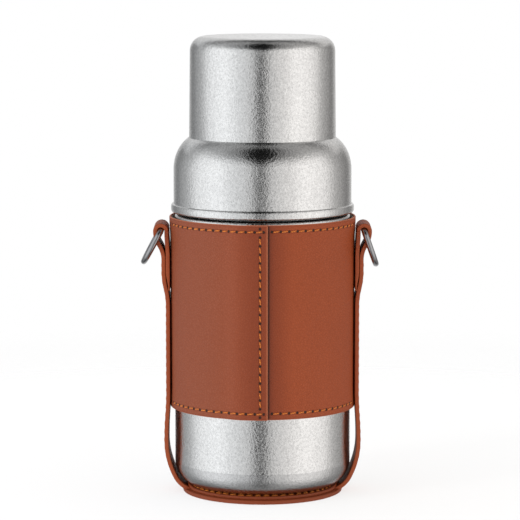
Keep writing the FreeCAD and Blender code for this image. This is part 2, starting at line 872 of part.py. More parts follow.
def valve_seal_z():
    return stopper_bottom_z - valve_gap - valve_seal_thickness


def valve_plate_z():
    return valve_seal_z() - valve_plate_thickness


def valve_stem():
    """The rod from the button down to a head under the valve plate."""
    low = valve_plate_z() - 1.5
    return turned([
        (0, low, 0),
        (stem_radius + 1.5, low, 0.4),
        (stem_radius + 1.5, valve_plate_z() - 0.02, 0.2),
        (stem_radius - 0.02, valve_plate_z() - 0.02, 0),
        (stem_radius - 0.02, button_top_z - 2.05, 0.3),
        (0, button_top_z - 2.05, 0),
    ])


def valve_plate():
    return ring(stem_radius, valve_seal_radius - 0.6, valve_plate_z(), valve_seal_z() - 0.02, 0.4)


def valve_seal():
    return ring(stem_radius, valve_seal_radius, valve_seal_z(),
                valve_seal_z() + valve_seal_thickness, 0.4)


def button_spring():
    """Wire coil from the guide's boss up to the underside of the button."""
    low = guide_z + guide_thickness + 0.05 + spring_wire / 2
    high = button_top_z - 2.05 - spring_wire / 2
    spine = Part.makeHelix((high - low) / spring_turns, high - low, spring_radius)
    corners = [math.radians(22.5 + 45 * i) for i in range(8)]
    section = Part.makePolygon([
        point(spring_radius + spring_wire / 2 * math.cos(a), spring_wire / 2 * math.sin(a))
        for a in corners + corners[:1]
    ])
    coil = Part.Wire(spine.Edges).makePipeShell([section], True, True)
    coil = Part.Solid(Part.Shell(coil.Faces)) if coil.ShapeType != "Solid" else coil
    coil.translate(point(0, low))
    return coil


# ------------------------------------------------------------------ drinking cup
def cup_ring_z():
    return trim_z() + trim_thickness + cup_seal_thickness + 2 * fit_gap


def cup_top_z():
    return cup_bottom_z + cup_height


def cup_shell():
    """The outer skin: slightly tapered, round-cornered, with a shallow crown."""
    top_r = cup_radius - cup_taper
    top = cup_top_z()
    corner = cup_corner_radius
    return turned([
        (cup_radius, cup_bottom_z, 0.25),
        (top_r, top, corner),
        (0, top + cup_crown, 0),
        (0, top + cup_crown - cup_wall, 0),
        (top_r - cup_wall, top - cup_wall, corner - cup_wall),
        (cup_radius - cup_wall, cup_bottom_z, 0.25),
    ])


def cup_liner():
    """The inner skin, which holds the drink when the cup is turned over."""
    low = cup_ring_z() + cup_ring_height + 0.05
    top = cup_top_z() - cup_top_gap
    inner = cup_liner_radius - vessel_wall
    return turned([
        (cup_liner_radius, low, 0),
        (cup_liner_radius, top, cup_liner_corner),
        (0, top, 0),
        (0, top - vessel_wall, 0),
        (inner, top - vessel_wall, cup_liner_corner - vessel_wall),
        (inner, low, 0),
    ])


def cup_thread_ring():
    """Moulded ring in the cup's mouth, with lugs that ride under the neck's thread."""
    bore = neck_root_radius + lid_tooth + thread_clearance
    low = cup_ring_z()
    body = ring(bore, cup_radius - cup_taper - cup_wall - 0.15, low, low + cup_ring_height, 0.4)
    lug_low, first = lug_between(neck_thread_z(), lid_lead, lid_pitch, 1.4)
    return thread(body, bore, bore - lid_tooth, lug_low, 0, lid_lead, lid_starts, first, lug_angle)


def cup_seal():
    low = trim_z() + trim_thickness + fit_gap
    inner = neck_root_radius + lid_tooth + thread_clearance
    return ring(inner, inner + cup_seal_width, low, low + cup_seal_thickness, 0.3)


# ------------------------------------------------------------------ output
NODES = {
    "carrier_strap": carrier_strap,
    "base_lining": base_lining,
    "sleeve_panel": sleeve_panel,
    "sleeve_lining": sleeve_lining,
    "sleeve_stitching": sleeve_stitching,
    "strap_stitching": strap_stitching,
    "base_stitching": base_stitching,
    "d_ring_left": lambda: d_ring(ring_tilt_left, -1),
    "d_ring_right": lambda: d_ring(ring_tilt_right, 1),
    "outer_shell": outer_shell,
    "base_shell": base_shell,
    "inner_vessel": inner_vessel,
    "mouth_ring": mouth_ring,
    "heat_shield": heat_shield,
    "getter": getter,
    "seal_disc": seal_disc,
    "shoulder_shell": shoulder_shell,
    "shoulder_liner": shoulder_liner,
    "shoulder_insulation": shoulder_insulation,
    "shoulder_gasket": shoulder_gasket,
    "neck_trim_ring": neck_trim_ring,
    "stopper_gasket": stopper_gasket,
    "stopper_body": stopper_body,
    "stopper_cover": stopper_cover,
    "stem_guide": stem_guide,
    "pour_button": pour_button,
    "valve_stem": valve_stem,
    "valve_plate": valve_plate,
    "valve_seal": valve_seal,
    "button_spring": button_spring,
    "cup_shell": cup_shell,
    "cup_liner": cup_liner,
    "cup_thread_ring": cup_thread_ring,
    "cup_seal": cup_seal,
}

os.makedirs("parts", exist_ok=True)
for name, make in NODES.items():
    shape = make()
    print(f"{name}: {len(shape.Solids)} solid(s), {shape.Volume:.1f} mm3, valid {shape.isValid()}")
    shape.exportStep(os.path.join("parts", name + ".step"))
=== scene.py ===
# %% [markdown]
# # A steel flask in a leather carrier
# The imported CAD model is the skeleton: every body, joint and size comes from it. This script dresses that skeleton.
# It models the pieces that are seen, gives every piece a procedural finish, and lights the result. Read it from top
# to bottom: each cell makes one thing, and most print what they made.

# %% Load the frame
import math

import bmesh
import bpy
from mathutils import Matrix, Vector


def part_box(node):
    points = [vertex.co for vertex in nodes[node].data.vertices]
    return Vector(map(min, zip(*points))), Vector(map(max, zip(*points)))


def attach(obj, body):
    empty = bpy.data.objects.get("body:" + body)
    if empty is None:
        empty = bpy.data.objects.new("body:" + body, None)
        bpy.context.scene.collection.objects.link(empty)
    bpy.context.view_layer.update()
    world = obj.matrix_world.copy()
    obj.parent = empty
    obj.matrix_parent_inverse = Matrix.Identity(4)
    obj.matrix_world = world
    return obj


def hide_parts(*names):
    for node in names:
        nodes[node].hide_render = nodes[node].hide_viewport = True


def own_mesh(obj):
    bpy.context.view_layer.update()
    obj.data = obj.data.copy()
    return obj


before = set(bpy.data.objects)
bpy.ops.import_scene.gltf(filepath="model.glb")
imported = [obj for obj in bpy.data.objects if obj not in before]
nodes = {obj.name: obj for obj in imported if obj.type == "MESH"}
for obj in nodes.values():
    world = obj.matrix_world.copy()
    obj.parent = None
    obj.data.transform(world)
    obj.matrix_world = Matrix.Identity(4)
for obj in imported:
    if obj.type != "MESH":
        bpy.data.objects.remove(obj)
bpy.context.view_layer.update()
print("nodes:", len(nodes))

# %% [markdown]
# ## Reading sizes from the frame
# Every place comes from the CAD nodes' boxes, so a piece fits without any nudging. A round node's box gives
# its radius. The script works in metres, and MM turns the few millimetre sizes below into metres.

# %% Sizes of the round parts
MM = 0.001


def low(node):
    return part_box(node)[0][2]


def high(node):
    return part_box(node)[1][2]


def radius(node):
    least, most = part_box(node)
    return (most[0] - least[0]) / 2


def round_part(node):
    """A round node's radius, and how low and how high it reaches."""
    return radius(node), low(node), high(node)


for part in ("cup_shell", "shoulder_shell", "outer_shell", "base_lining"):
    print(f"{part}: radius {radius(part) / MM:.1f} mm, from {low(part) / MM:.1f} to {high(part) / MM:.1f} mm up")

# %% [markdown]
# ## Turning a bmesh into a piece
# A new piece needs five things: a mesh, smooth shading with sharp edges kept sharp, a material, the CAD body it
# rides on, and the CAD nodes it stands for. These could be set by hand each time, but one function does all five,
# so no piece misses one.

# %% The helpers that finish every new piece
def put_in_scene(name, data):
    obj = bpy.data.objects.new(name, data)
    bpy.context.collection.objects.link(obj)
    return obj


def piece(name, bm, material, body, stands_for=(), sharp=35.0):
    mesh = bpy.data.meshes.new(name)
    bm.to_mesh(mesh)
    bm.free()
    mesh.shade_smooth()
    mesh.set_sharp_from_angle(angle=math.radians(sharp))
    obj = put_in_scene(name, mesh)
    for finish in material if isinstance(material, (list, tuple)) else [material]:
        mesh.materials.append(finish)
    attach(obj, body)
    if stands_for:
        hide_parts(*stands_for)
    print(f"{name}: {len(mesh.polygons)} faces, rides on {body}")
    return obj


# %% [markdown]
# ## Building node trees without clutter
# Materials are node trees. They could be made with three lines for every node, one to add it and two to fill and
# link it. `put` does all that at once: a plain value sets the socket, and another node's output is linked to it.
# The helpers under it name the few node kinds that come back again and again.

# %% The helper that adds one shader node
def put(tree, kind, inputs=None, **settings):
    node = tree.nodes.new(kind)
    for key, value in settings.items():
        setattr(node, key, value)
    for key, value in (inputs or {}).items():
        if isinstance(value, bpy.types.NodeSocket):
            tree.links.new(value, node.inputs[key])
        else:
            node.inputs[key].default_value = value
    return node


def maths(tree, operation, a, b=0.0, c=0.0, clamp=False):
    node = put(tree, "ShaderNodeMath", {0: a, 1: b, 2: c}, operation=operation, use_clamp=clamp)
    return node.outputs[0]


def fade(tree, value, start, end):
    """1 where value is at start, falling smoothly to 0 at end."""
    node = put(tree, "ShaderNodeMapRange", {0: value, 1: start, 2: end, 3: 1.0, 4: 0.0},
               interpolation_type="SMOOTHSTEP")
    return node.outputs[0]


def blend_colour(tree, factor, first, second, mode="MIX"):
    node = put(tree, "ShaderNodeMix", data_type="RGBA", blend_type=mode)
    for index, value in ((0, factor), (6, first), (7, second)):
        if isinstance(value, bpy.types.NodeSocket):
            tree.links.new(value, node.inputs[index])
        else:
            node.inputs[index].default_value = value
    return node.outputs[2]


def wash(tree, tone, mask, strength, colour, clamp=False):
    """Lays a colour over a tone where a mask is, at a strength."""
    return blend_colour(tree, maths(tree, "MULTIPLY", mask, strength, clamp=clamp), tone, colour)


def grey(level):
    return (level, level, level, 1)


def noise(tree, place, scale, detail=2.0, rough=0.5, warp=0.0):
    node = put(tree, "ShaderNodeTexNoise", {"Vector": place, "Scale": scale, "Detail": detail,
                                            "Roughness": rough, "Distortion": warp})
    return node.outputs["Fac"]


# %% [markdown]
# ## Shared effects as node groups
# Grain, specks and stitch marks are used by several materials. Copies of their nodes in each material would drift
# apart, so each effect is a node group with named sockets, built once. A group gives out only masks and heights.
# The shader itself stays in the material.

# %% The helper that starts a node group
def new_group(name, takes, gives):
    group = bpy.data.node_groups.new(name, "ShaderNodeTree")
    for label, kind, value in takes:
        socket = group.interface.new_socket(label, in_out="INPUT", socket_type="NodeSocket" + kind)
        if value is not None:
            socket.default_value = value
    for label in gives:
        group.interface.new_socket(label, in_out="OUTPUT", socket_type="NodeSocketFloat")
    start = group.nodes.new("NodeGroupInput")
    end = group.nodes.new("NodeGroupOutput")
    print(f"group {name}: gives {', '.join(gives)}")
    return group, start.outputs, end.inputs


def use_group(tree, group, **inputs):
    return put(tree, "ShaderNodeGroup", {k.replace("_", " "): v for k, v in inputs.items()},
               node_tree=group).outputs


# %% [markdown]
# The steel is tumbled with fine media until it is covered in tiny dents, about half a millimetre across. Light
# glints off them, so they show most where a dark reflection meets a bright one. They could be modelled, but that
# would take millions of faces, so they are a height for a Bump node: two noises of different size make the dents. A
# slow noise makes the faint clouds that go with hand finishing, and a Voronoi texture the specks: small dots where
# the material paints shade into pits.

# %% Group: tumbled metal
tumbled, take, give = new_group(
    "tumbled_metal",
    [("Vector", "Vector", None), ("Scale", "Float", 1.0)],
    ["Height", "Painted pit shade", "Clouds"],
)
scaled = put(tumbled, "ShaderNodeVectorMath", {0: take["Vector"], 3: take["Scale"]}, operation="SCALE").outputs[0]
dents = noise(tumbled, scaled, 850.0, 2.0, 0.7)
fine = noise(tumbled, scaled, 1900.0, 1.0)
pits = put(tumbled, "ShaderNodeTexVoronoi", {"Vector": scaled, "Scale": 900.0}).outputs["Distance"]
cloud = noise(tumbled, scaled, 35.0, 3.0, 0.6, 0.4)
both = maths(tumbled, "MULTIPLY_ADD", fine, 0.45, dents)
tumbled.links.new(both, give["Height"])
# The specks mask, which the steel's material paints as painted shade in pits.
tumbled.links.new(fade(tumbled, pits, 0.12, 0.42), give["Painted pit shade"])
tumbled.links.new(cloud, give["Clouds"])

# %% [markdown]
# Leather grain is a net of fine creases round small flat pebbles. Plain noise would give lumps and no net, so a
# Voronoi texture's distance to the nearest edge draws the creases, warped by noise so that no pebble is a neat
# polygon. Fine noise adds the pores, and slow noise varies the dye.

# %% Group: leather grain
grain, take, give = new_group(
    "leather_grain",
    [("Vector", "Vector", None), ("Pebbles per metre", "Float", 900.0)],
    ["Height", "Creases", "Dye"],
)
wobble = put(grain, "ShaderNodeTexNoise", {"Vector": take["Vector"], "Scale": 300.0, "Detail": 2.0}).outputs["Color"]
shifted = put(grain, "ShaderNodeVectorMath", {0: wobble, 1: (0.0011, 0.0011, 0.0011), 2: take["Vector"]},
              operation="MULTIPLY_ADD").outputs[0]
net = put(grain, "ShaderNodeTexVoronoi", {"Vector": shifted, "Scale": take["Pebbles per metre"]},
          feature="DISTANCE_TO_EDGE").outputs["Distance"]
crease = fade(grain, net, 0.0, 0.22)
pores = noise(grain, take["Vector"], 2600.0, 2.0)
dye = noise(grain, take["Vector"], 28.0, 4.0, 0.65, 0.5)
height = maths(grain, "MULTIPLY_ADD", crease, -0.75, pores)
grain.links.new(height, give["Height"])
grain.links.new(crease, give["Creases"])
grain.links.new(dye, give["Dye"])

# %% [markdown]
# Sewn leather shows where the needle went. The thread pulls a shallow groove, each hole is a dark dot of painted
# shade, and the cut edge beyond it is rubbed darker. All three follow the row of stitches, so this group reads a UV
# map laid out in metres: U runs along the row and V is the distance from the piece's middle line.

# %% Group: sewn rows
sewn, take, give = new_group(
    "sewn_rows",
    [("Vector", "Vector", None), ("Row", "Float", 0.01), ("Edge", "Float", 0.012), ("Pitch", "Float", 0.0042)],
    ["Holes", "Groove", "Rubbed"],
)
axes = put(sewn, "ShaderNodeSeparateXYZ", {0: take["Vector"]}).outputs
half_pitch = maths(sewn, "MULTIPLY", take["Pitch"], 0.5)
along = maths(sewn, "PINGPONG", axes["X"], half_pitch)
out = maths(sewn, "ABSOLUTE", axes["Y"])
across = maths(sewn, "ABSOLUTE", maths(sewn, "SUBTRACT", out, take["Row"]))
flat = put(sewn, "ShaderNodeCombineXYZ", {0: along, 1: across}).outputs[0]
near = put(sewn, "ShaderNodeVectorMath", {0: flat}, operation="LENGTH").outputs["Value"]
to_edge = maths(sewn, "SUBTRACT", take["Edge"], out)
sewn.links.new(fade(sewn, near, 0.00042, 0.00085), give["Holes"])
sewn.links.new(fade(sewn, across, 0.0, 0.0012), give["Groove"])
sewn.links.new(fade(sewn, to_edge, 0.0, 0.0016), give["Rubbed"])

# %% [markdown]
# Moulded plastic, rubber and plated wire all have a fine, even surface texture and a little dust or handling wear.
# Each could have its own nodes, but only the size of the grain differs, so one group serves them all.

# %% Group: fine surface
surface, take, give = new_group(
    "fine_surface",
    [("Vector", "Vector", None), ("Grain per metre", "Float", 2500.0)],
    ["Height", "Handling"],
)
surface.links.new(noise(surface, take["Vector"], take["Grain per metre"], 2.0), give["Height"])
surface.links.new(noise(surface, take["Vector"], 45.0, 4.0, 0.7, 0.3), give["Handling"])

# %% [markdown]
# ## Materials
# Each material starts the same way: a Principled shader, Object coordinates, and a Bump node. Constants such as
# sheen are set on the shader's own sockets, and only what varies over the surface is linked.

# %% The helper that starts a material
def new_material(name, **sockets):
    material = bpy.data.materials.new(name)
    material.use_nodes = True
    tree = material.node_tree
    shader = tree.nodes["Principled BSDF"]
    for label, value in sockets.items():
        shader.inputs[label.replace("_", " ")].default_value = value
    place = put(tree, "ShaderNodeTexCoord").outputs
    return material, tree, shader, place


def bump(tree, shader, height, depth):
    """Tilts the surface by a height that runs from 0 to 1 over a real depth in metres."""
    node = put(tree, "ShaderNodeBump", {"Strength": 1.0, "Distance": depth, "Height": height})
    tree.links.new(node.outputs[0], shader.inputs["Normal"])


def vary(tree, socket, value, least, most):
    """Feeds a socket a value spread between two limits."""
    node = put(tree, "ShaderNodeMapRange", {0: value, 3: least, 4: most})
    tree.links.new(node.outputs[0], socket)


# %% [markdown]
# The finish itself then only has to say how bright the steel is, how deep its dents are and how rough it is. A flat
# grey metal would look like plastic, so clouds darken it a little. The specks and the dents' hollows are painted
# darker too, painted shade standing in for the shade in pits and dents. The pressed base is a duller steel than the
# tube and the cup, so the same recipe is used twice.

# %% Tumbled steel, in two tones
def tumbled_steel(name, light, dark, depth, least, most):
    material, tree, shader, place = new_material(name, Metallic=1.0)
    marks = use_group(tree, tumbled, Vector=place["Object"])
    tone = wash(tree, light, marks["Clouds"], 0.6, dark)
    # Painted shade: dark specks where the pits lie.
    tone = wash(tree, tone, marks["Painted pit shade"], 0.26, grey(0.36))
    # Painted shade: the dents' hollows are darkened in the colour, as shade in them would darken them.
    painted_dent_shade = put(tree, "ShaderNodeMapRange", {0: marks["Height"], 1: 0.92, 2: 0.52}).outputs[0]
    tone = wash(tree, tone, painted_dent_shade, 0.42, grey(0.40))
    tree.links.new(tone, shader.inputs["Base Color"])
    vary(tree, shader.inputs["Roughness"], marks["Clouds"], least, most)
    bump(tree, shader, marks["Height"], depth)
    return material


steel = tumbled_steel("tumbled_steel", (1.0, 1.0, 0.99, 1), grey(0.88), 0.00012, 0.11, 0.17)
base_steel = tumbled_steel("tumbled_base_steel", grey(0.80), grey(0.66), 0.00014, 0.14, 0.21)
print("steel:", steel.name, base_steel.name)

# %% [markdown]
# The steel that is seen only when the flask is open is spun and polished. Turning leaves fine rings round the axis.
# A wave texture would make them too even, so noise is read from radius and height only, never from the angle, which
# stretches it into rings.

# %% Spun steel
def spun_metal(name, colour, worn, roughness):
    material, tree, shader, place = new_material(name, Metallic=1.0)
    x, y, z = put(tree, "ShaderNodeSeparateXYZ", {0: place["Object"]}).outputs
    squares = maths(tree, "ADD", maths(tree, "MULTIPLY", x, x), maths(tree, "MULTIPLY", y, y))
    flat = put(tree, "ShaderNodeCombineXYZ", {0: maths(tree, "SQRT", squares), 2: z}).outputs[0]
    rings = noise(tree, flat, 2200.0, 3.0, 0.6)
    marks = use_group(tree, surface, Vector=place["Object"])
    tone = blend_colour(tree, marks["Handling"], colour, worn)
    tree.links.new(tone, shader.inputs["Base Color"])
    vary(tree, shader.inputs["Roughness"], rings, roughness - 0.06, roughness + 0.10)
    bump(tree, shader, rings, 0.00002)
    return material


inner_steel = spun_metal("spun_steel", (0.72, 0.72, 0.73, 1), (0.60, 0.60, 0.61, 1), 0.24)
copper = spun_metal("copper_foil", (0.88, 0.50, 0.36, 1), (0.70, 0.38, 0.26, 1), 0.22)
wire_steel = spun_metal("spring_wire", (0.55, 0.55, 0.57, 1), (0.42, 0.42, 0.44, 1), 0.30)
getter_metal = spun_metal("pressed_alloy", (0.42, 0.41, 0.40, 1), (0.30, 0.30, 0.29, 1), 0.55)

# %% [markdown]
# The D-rings are plated a dark gunmetal. Plating is smooth, and what tells the eye that it is metal is the bright
# line of each light. So the roughness stays low and varies a little, and the plating is worn to a paler metal in
# small patches.

# %% Gunmetal plating
gunmetal, tree, shader, place = new_material("gunmetal_plate", Metallic=1.0)
marks = use_group(tree, surface, Vector=place["Object"], Grain_per_metre=700.0)
worn = fade(tree, marks["Handling"], 0.75, 0.55)
tone = blend_colour(tree, maths(tree, "SUBTRACT", 1.0, worn), (0.19, 0.19, 0.205, 1), (0.42, 0.42, 0.43, 1))
tree.links.new(tone, shader.inputs["Base Color"])
vary(tree, shader.inputs["Roughness"], marks["Height"], 0.05, 0.16)
bump(tree, shader, marks["Height"], 0.00003)

# %% [markdown]
# ### Leather
# The leather is smooth, dyed an orange brown and lightly waxed. Its colour drifts slowly, creases are darker,
# needle holes darkest with painted shade, and edges are burnished. On the sleeve, painted shade lies past the lapped
# edge and round the front seam, a painted shadow line runs along that edge and a painted highlight lies on it, and
# the left side is painted a cooler colour as a painted sheen. All of this could be painted into an image, but masks
# laid one over another stay sharp at any distance and follow the real sizes. The sheet and its cut edge are two
# materials, because the edge shows the fibres and not the grain.

# %% Leather
def leather(name, colour, deep, rows, seam=None, lap=None, end=None, painted_left_sheen=None):
    """rows is (row, edge): how far the stitches and the edge lie from the middle line, in metres. seam and lap
    are where a sewn seam and the edge lapped over it lie along U; painted shade is laid past that edge and round
    the seam, with a painted shadow line along the edge. end is that edge's own place, where a painted highlight
    lies. drift is a cooler colour painted over the left side, a painted sheen of the light from the left."""
    material, tree, shader, place = new_material(name, Specular_IOR_Level=0.4, Coat_Weight=0.03, Coat_Roughness=0.3)
    skin = use_group(tree, grain, Vector=place["Object"])
    marks = use_group(tree, sewn, Vector=place["UV"], Row=rows[0], Edge=rows[1])
    holes, groove = marks["Holes"], marks["Groove"]
    if seam is not None:
        u, v, _ = put(tree, "ShaderNodeSeparateXYZ", {0: place["UV"]}).outputs
        turned = put(tree, "ShaderNodeCombineXYZ", {0: v, 1: maths(tree, "SUBTRACT", u, seam)}).outputs[0]
        more = use_group(tree, sewn, Vector=turned, Row=0.0, Edge=1.0)
        holes = maths(tree, "MAXIMUM", holes, more["Holes"])
        groove = maths(tree, "MULTIPLY_ADD", more["Groove"], 1.6, groove)
    # Painted sheen: towards the left the colour fades to a cooler one, as the light from the left would tint it.
    if painted_left_sheen is not None:
        sideways = put(tree, "ShaderNodeSeparateXYZ", {0: place["Object"]}).outputs["X"]
        colour = blend_colour(tree, fade(tree, sideways, -0.03, 0.01), colour, painted_left_sheen)
    tone = wash(tree, colour, skin["Dye"], 0.22, deep)
    tone = wash(tree, tone, skin["Creases"], 0.30, deep)
    if lap is not None:
        # Painted shade: the under layer just past the lapped edge, and the leather round the seam, are darkened,
        # standing in for the flap's shadow and for the sheen that is missing there.
        beyond = maths(tree, "SUBTRACT", u, lap)
        painted_lap_shade = maths(tree, "MULTIPLY_ADD", fade(tree, beyond, 0.0003, 0.0016), 0.65,
                    maths(tree, "MULTIPLY", fade(tree, beyond, 0.0, 0.015), 0.70))
        before = maths(tree, "ABSOLUTE", maths(tree, "SUBTRACT", u, seam))
        painted_lap_shade = maths(tree, "MULTIPLY_ADD", fade(tree, before, 0.0, 0.016), 0.62, painted_lap_shade, clamp=True)
        tone = blend_colour(tree, painted_lap_shade, tone, deep)
        # A painted shadow line along the lapped edge.
        line = fade(tree, beyond, 0.0005, 0.0014)
        tone = wash(tree, tone, line, 0.72, (0.060, 0.015, 0.005, 1))
        # A painted highlight on the flap's own edge.
        painted_edge_highlight = fade(tree, maths(tree, "SUBTRACT", end, u), 0.0002, 0.0010)
        tone = wash(tree, tone, painted_edge_highlight, 0.55, (0.50, 0.14, 0.055, 1))
    tone = wash(tree, tone, groove, 0.30, deep, clamp=True)
    tone = wash(tree, tone, marks["Rubbed"], 0.35, deep)
    # Painted shade: the needle holes are painted near black, the shade inside each hole.
    tone = wash(tree, tone, holes, 0.9, (0.02, 0.008, 0.004, 1))
    tree.links.new(tone, shader.inputs["Base Color"])
    vary(tree, shader.inputs["Roughness"], skin["Height"], 0.62, 0.40)
    relief = maths(tree, "MULTIPLY_ADD", groove, -2.2, skin["Height"])
    relief = maths(tree, "MULTIPLY_ADD", holes, -5.0, relief)
    bump(tree, shader, relief, 0.00007)
    return material


def leather_edge(name, colour, deep):
    material, tree, shader, place = new_material(name)
    flat = put(tree, "ShaderNodeMapping", {"Vector": place["Object"], "Scale": (1.0, 1.0, 0.25)}).outputs[0]
    fibres = noise(tree, flat, 2400.0, 3.0, 0.7)
    tree.links.new(blend_colour(tree, fibres, deep, colour), shader.inputs["Base Color"])
    vary(tree, shader.inputs["Roughness"], fibres, 0.45, 0.7)
    bump(tree, shader, fibres, 0.00010)
    return material


# %% [markdown]
# ### Thread and cloth
# The thread is waxed and twisted. A stitch is too small to model its strands, so the twist is a fine wave that
# crosses it. The sleeve's lining is a plain woven cloth, where every second crossing of the threads stands up. Two
# sine waves multiplied together give just that checker, softly rounded.

# %% Thread and cloth
thread, tree, shader, place = new_material("waxed_thread", Sheen_Weight=0.08, Sheen_Roughness=0.4)
twist = put(tree, "ShaderNodeTexWave", {"Vector": place["Object"], "Scale": 420.0, "Distortion": 1.5,
                                        "Detail": 1.0}, bands_direction="DIAGONAL").outputs["Fac"]
tree.links.new(blend_colour(tree, twist, (0.50, 0.12, 0.012, 1), (0.84, 0.25, 0.03, 1)), shader.inputs["Base Color"])
vary(tree, shader.inputs["Roughness"], twist, 0.45, 0.65)
bump(tree, shader, twist, 0.00012)

THREAD_GAP = 0.8 * MM
cloth, tree, shader, place = new_material("lining_cloth", Sheen_Weight=0.3, Sheen_Roughness=0.5)
u, v, _ = put(tree, "ShaderNodeSeparateXYZ", {0: place["UV"]}).outputs
warp_threads = maths(tree, "SINE", maths(tree, "MULTIPLY", u, 2 * math.pi / THREAD_GAP))
weft_threads = maths(tree, "SINE", maths(tree, "MULTIPLY", v, 2 * math.pi / THREAD_GAP))
weave = maths(tree, "MULTIPLY_ADD", maths(tree, "MULTIPLY", warp_threads, weft_threads), 0.5, 0.5)
slub = noise(tree, place["Object"], 260.0, 3.0, 0.6)
tone = blend_colour(tree, weave, (0.20, 0.14, 0.10, 1), (0.36, 0.28, 0.21, 1))
tone = wash(tree, tone, slub, 0.5, (0.26, 0.19, 0.14, 1))
tree.links.new(tone, shader.inputs["Base Color"])
vary(tree, shader.inputs["Roughness"], weave, 0.95, 0.75)
bump(tree, shader, weave, 0.0001)

# %% [markdown]
# ### Mouldings, seals and foam
# The hidden parts are plain plastic and silicone, but they come into view when the flask is opened. They could
# share one dull finish, but moulded, rubbery and foamed surfaces break light up differently, so each has its own
# grain, roughness and handling marks.

# %% Plastics and rubber
def moulded(name, colour, handled, roughness, depth, per_metre=2500.0, **sockets):
    material, tree, shader, place = new_material(name, **sockets)
    marks = use_group(tree, surface, Vector=place["Object"], Grain_per_metre=per_metre)
    tree.links.new(blend_colour(tree, marks["Handling"], colour, handled), shader.inputs["Base Color"])
    vary(tree, shader.inputs["Roughness"], marks["Handling"], roughness - 0.08, roughness + 0.1)
    bump(tree, shader, marks["Height"], depth)
    return material


black_plastic = moulded("black_moulding", (0.018, 0.018, 0.019, 1), (0.035, 0.035, 0.037, 1), 0.42, 0.00003)
button_plastic = moulded("button_plastic", (0.045, 0.045, 0.048, 1), (0.07, 0.07, 0.074, 1), 0.34, 0.00002)
silicone = moulded("silicone", (0.72, 0.72, 0.69, 1), (0.58, 0.58, 0.55, 1), 0.5, 0.00002, 1500.0,
                   Subsurface_Weight=0.15, Subsurface_Radius=(0.004, 0.004, 0.003))
foam = moulded("foam", (0.82, 0.79, 0.70, 1), (0.66, 0.62, 0.52, 1), 0.9, 0.0004, 900.0)
print("materials:", len(bpy.data.materials))

# %% [markdown]
# ## Giving the CAD nodes their finishes
# Threads, seals and inner walls already have their right shape from the CAD model. Modelling them again could only
# make them worse, so those nodes stay and only their plain materials are changed.

# %% Finishes for the nodes that stay
FINISHES = {
    inner_steel: ["mouth_ring", "inner_vessel", "seal_disc", "valve_stem", "valve_plate"],
    copper: ["heat_shield"],
    getter_metal: ["getter"],
    black_plastic: ["shoulder_liner", "stopper_body", "stopper_cover", "stem_guide", "cup_thread_ring"],
    silicone: ["shoulder_gasket", "stopper_gasket", "valve_seal", "cup_seal"],
    foam: ["shoulder_insulation"],
}
for finish, names in FINISHES.items():
    for node_name in names:
        mesh = nodes[node_name].data
        mesh.materials.clear()
        mesh.materials.append(finish)
print("CAD nodes refinished:", sum(len(names) for names in FINISHES.values()))

# %% [markdown]
# ## Turned parts
# The cup, the dome and the bottle are all turned shapes: an outline carried once round the axis. A Screw modifier
# could do it, or a curve, but then the corners would have to be drawn point by point. Here the outline starts as a
# few straight edges. Its corners are rounded by bevelling single vertices, which cuts each corner back by the
# bevel's offset, and then `spin` sweeps it round with `use_merge` so that the last step closes on the first.

# %% The helper that turns an outline
STEPS = 144


def turned(outline, closed=True):
    """outline is a list of (radius, height, rounding) in metres, in order."""
    bm = bmesh.new()
    points = [bm.verts.new((r, 0.0, z)) for r, z, _ in outline]
    for here, there in zip(points, points[1:]):
        bm.edges.new((here, there))
    if closed:
        bm.edges.new((points[-1], points[0]))
    for corner, (_, _, rounding) in zip(points, outline):
        if rounding > 0:
            bmesh.ops.bevel(bm, geom=[corner], offset=rounding, segments=max(2, int(2 + rounding / MM)),
                            profile=0.5, affect="VERTICES", material=-1)
    bmesh.ops.spin(bm, geom=bm.verts[:] + bm.edges[:], cent=(0, 0, 0), axis=(0, 0, 1),
                   angle=2 * math.pi, steps=STEPS, use_merge=True)
    bmesh.ops.remove_doubles(bm, verts=bm.verts[:], dist=1e-6)
    bmesh.ops.dissolve_degenerate(bm, dist=1e-7, edges=bm.edges[:])
    bmesh.ops.recalc_face_normals(bm, faces=bm.faces[:])
    return bm


# %% [markdown]
# ### The cup
# The cup is drawn from sheet, so its wall is the same everywhere, its top corner is generous and its top is very
# slightly domed. Its lower lip is turned in, which leaves a fine rounded edge. A cylinder with a bevel would be
# quicker, but it would have no wall to see when the cup is off, so inside and outside are one outline.

# %% The cup's skin
WALL = 0.6 * MM
cup_r, cup_low, cup_high = round_part("cup_shell")
cup_top_r = cup_r - 0.5 * MM
crown = 0.4 * MM
lip_in = cup_r - 1.0 * MM
cup = turned([
    (cup_r, cup_low, 0.25 * MM),
    (cup_top_r, cup_high - crown, 7.0 * MM),
    (0.0, cup_high, 0),
    (0.0, cup_high - WALL, 0),
    (cup_top_r - WALL, cup_high - crown - WALL, 6.4 * MM),
    (lip_in, cup_low + 3.0 * MM, 0.5 * MM),
    (lip_in, cup_low, 0.25 * MM),
])
piece("cup_skin", cup, steel, "cup", ["cup_shell"])

# %% [markdown]
# Under the skin the cup has a polished steel liner, with a gap between the two walls that keeps the outside cool.
# It could be the same mesh as the skin, but it has another finish and is another piece.

# %% The cup's inside
liner_r, liner_low, liner_high = round_part("cup_liner")
LINER_WALL = 0.5 * MM
liner = turned([
    (liner_r, liner_low, 0),
    (liner_r, liner_high, 6.0 * MM),
    (0.0, liner_high, 0),
    (0.0, liner_high - LINER_WALL, 0),
    (liner_r - LINER_WALL, liner_high - LINER_WALL, 5.5 * MM),
    (liner_r - LINER_WALL, liner_low, 0),
])
piece("cup_inside", liner, inner_steel, "cup", ["cup_liner"])

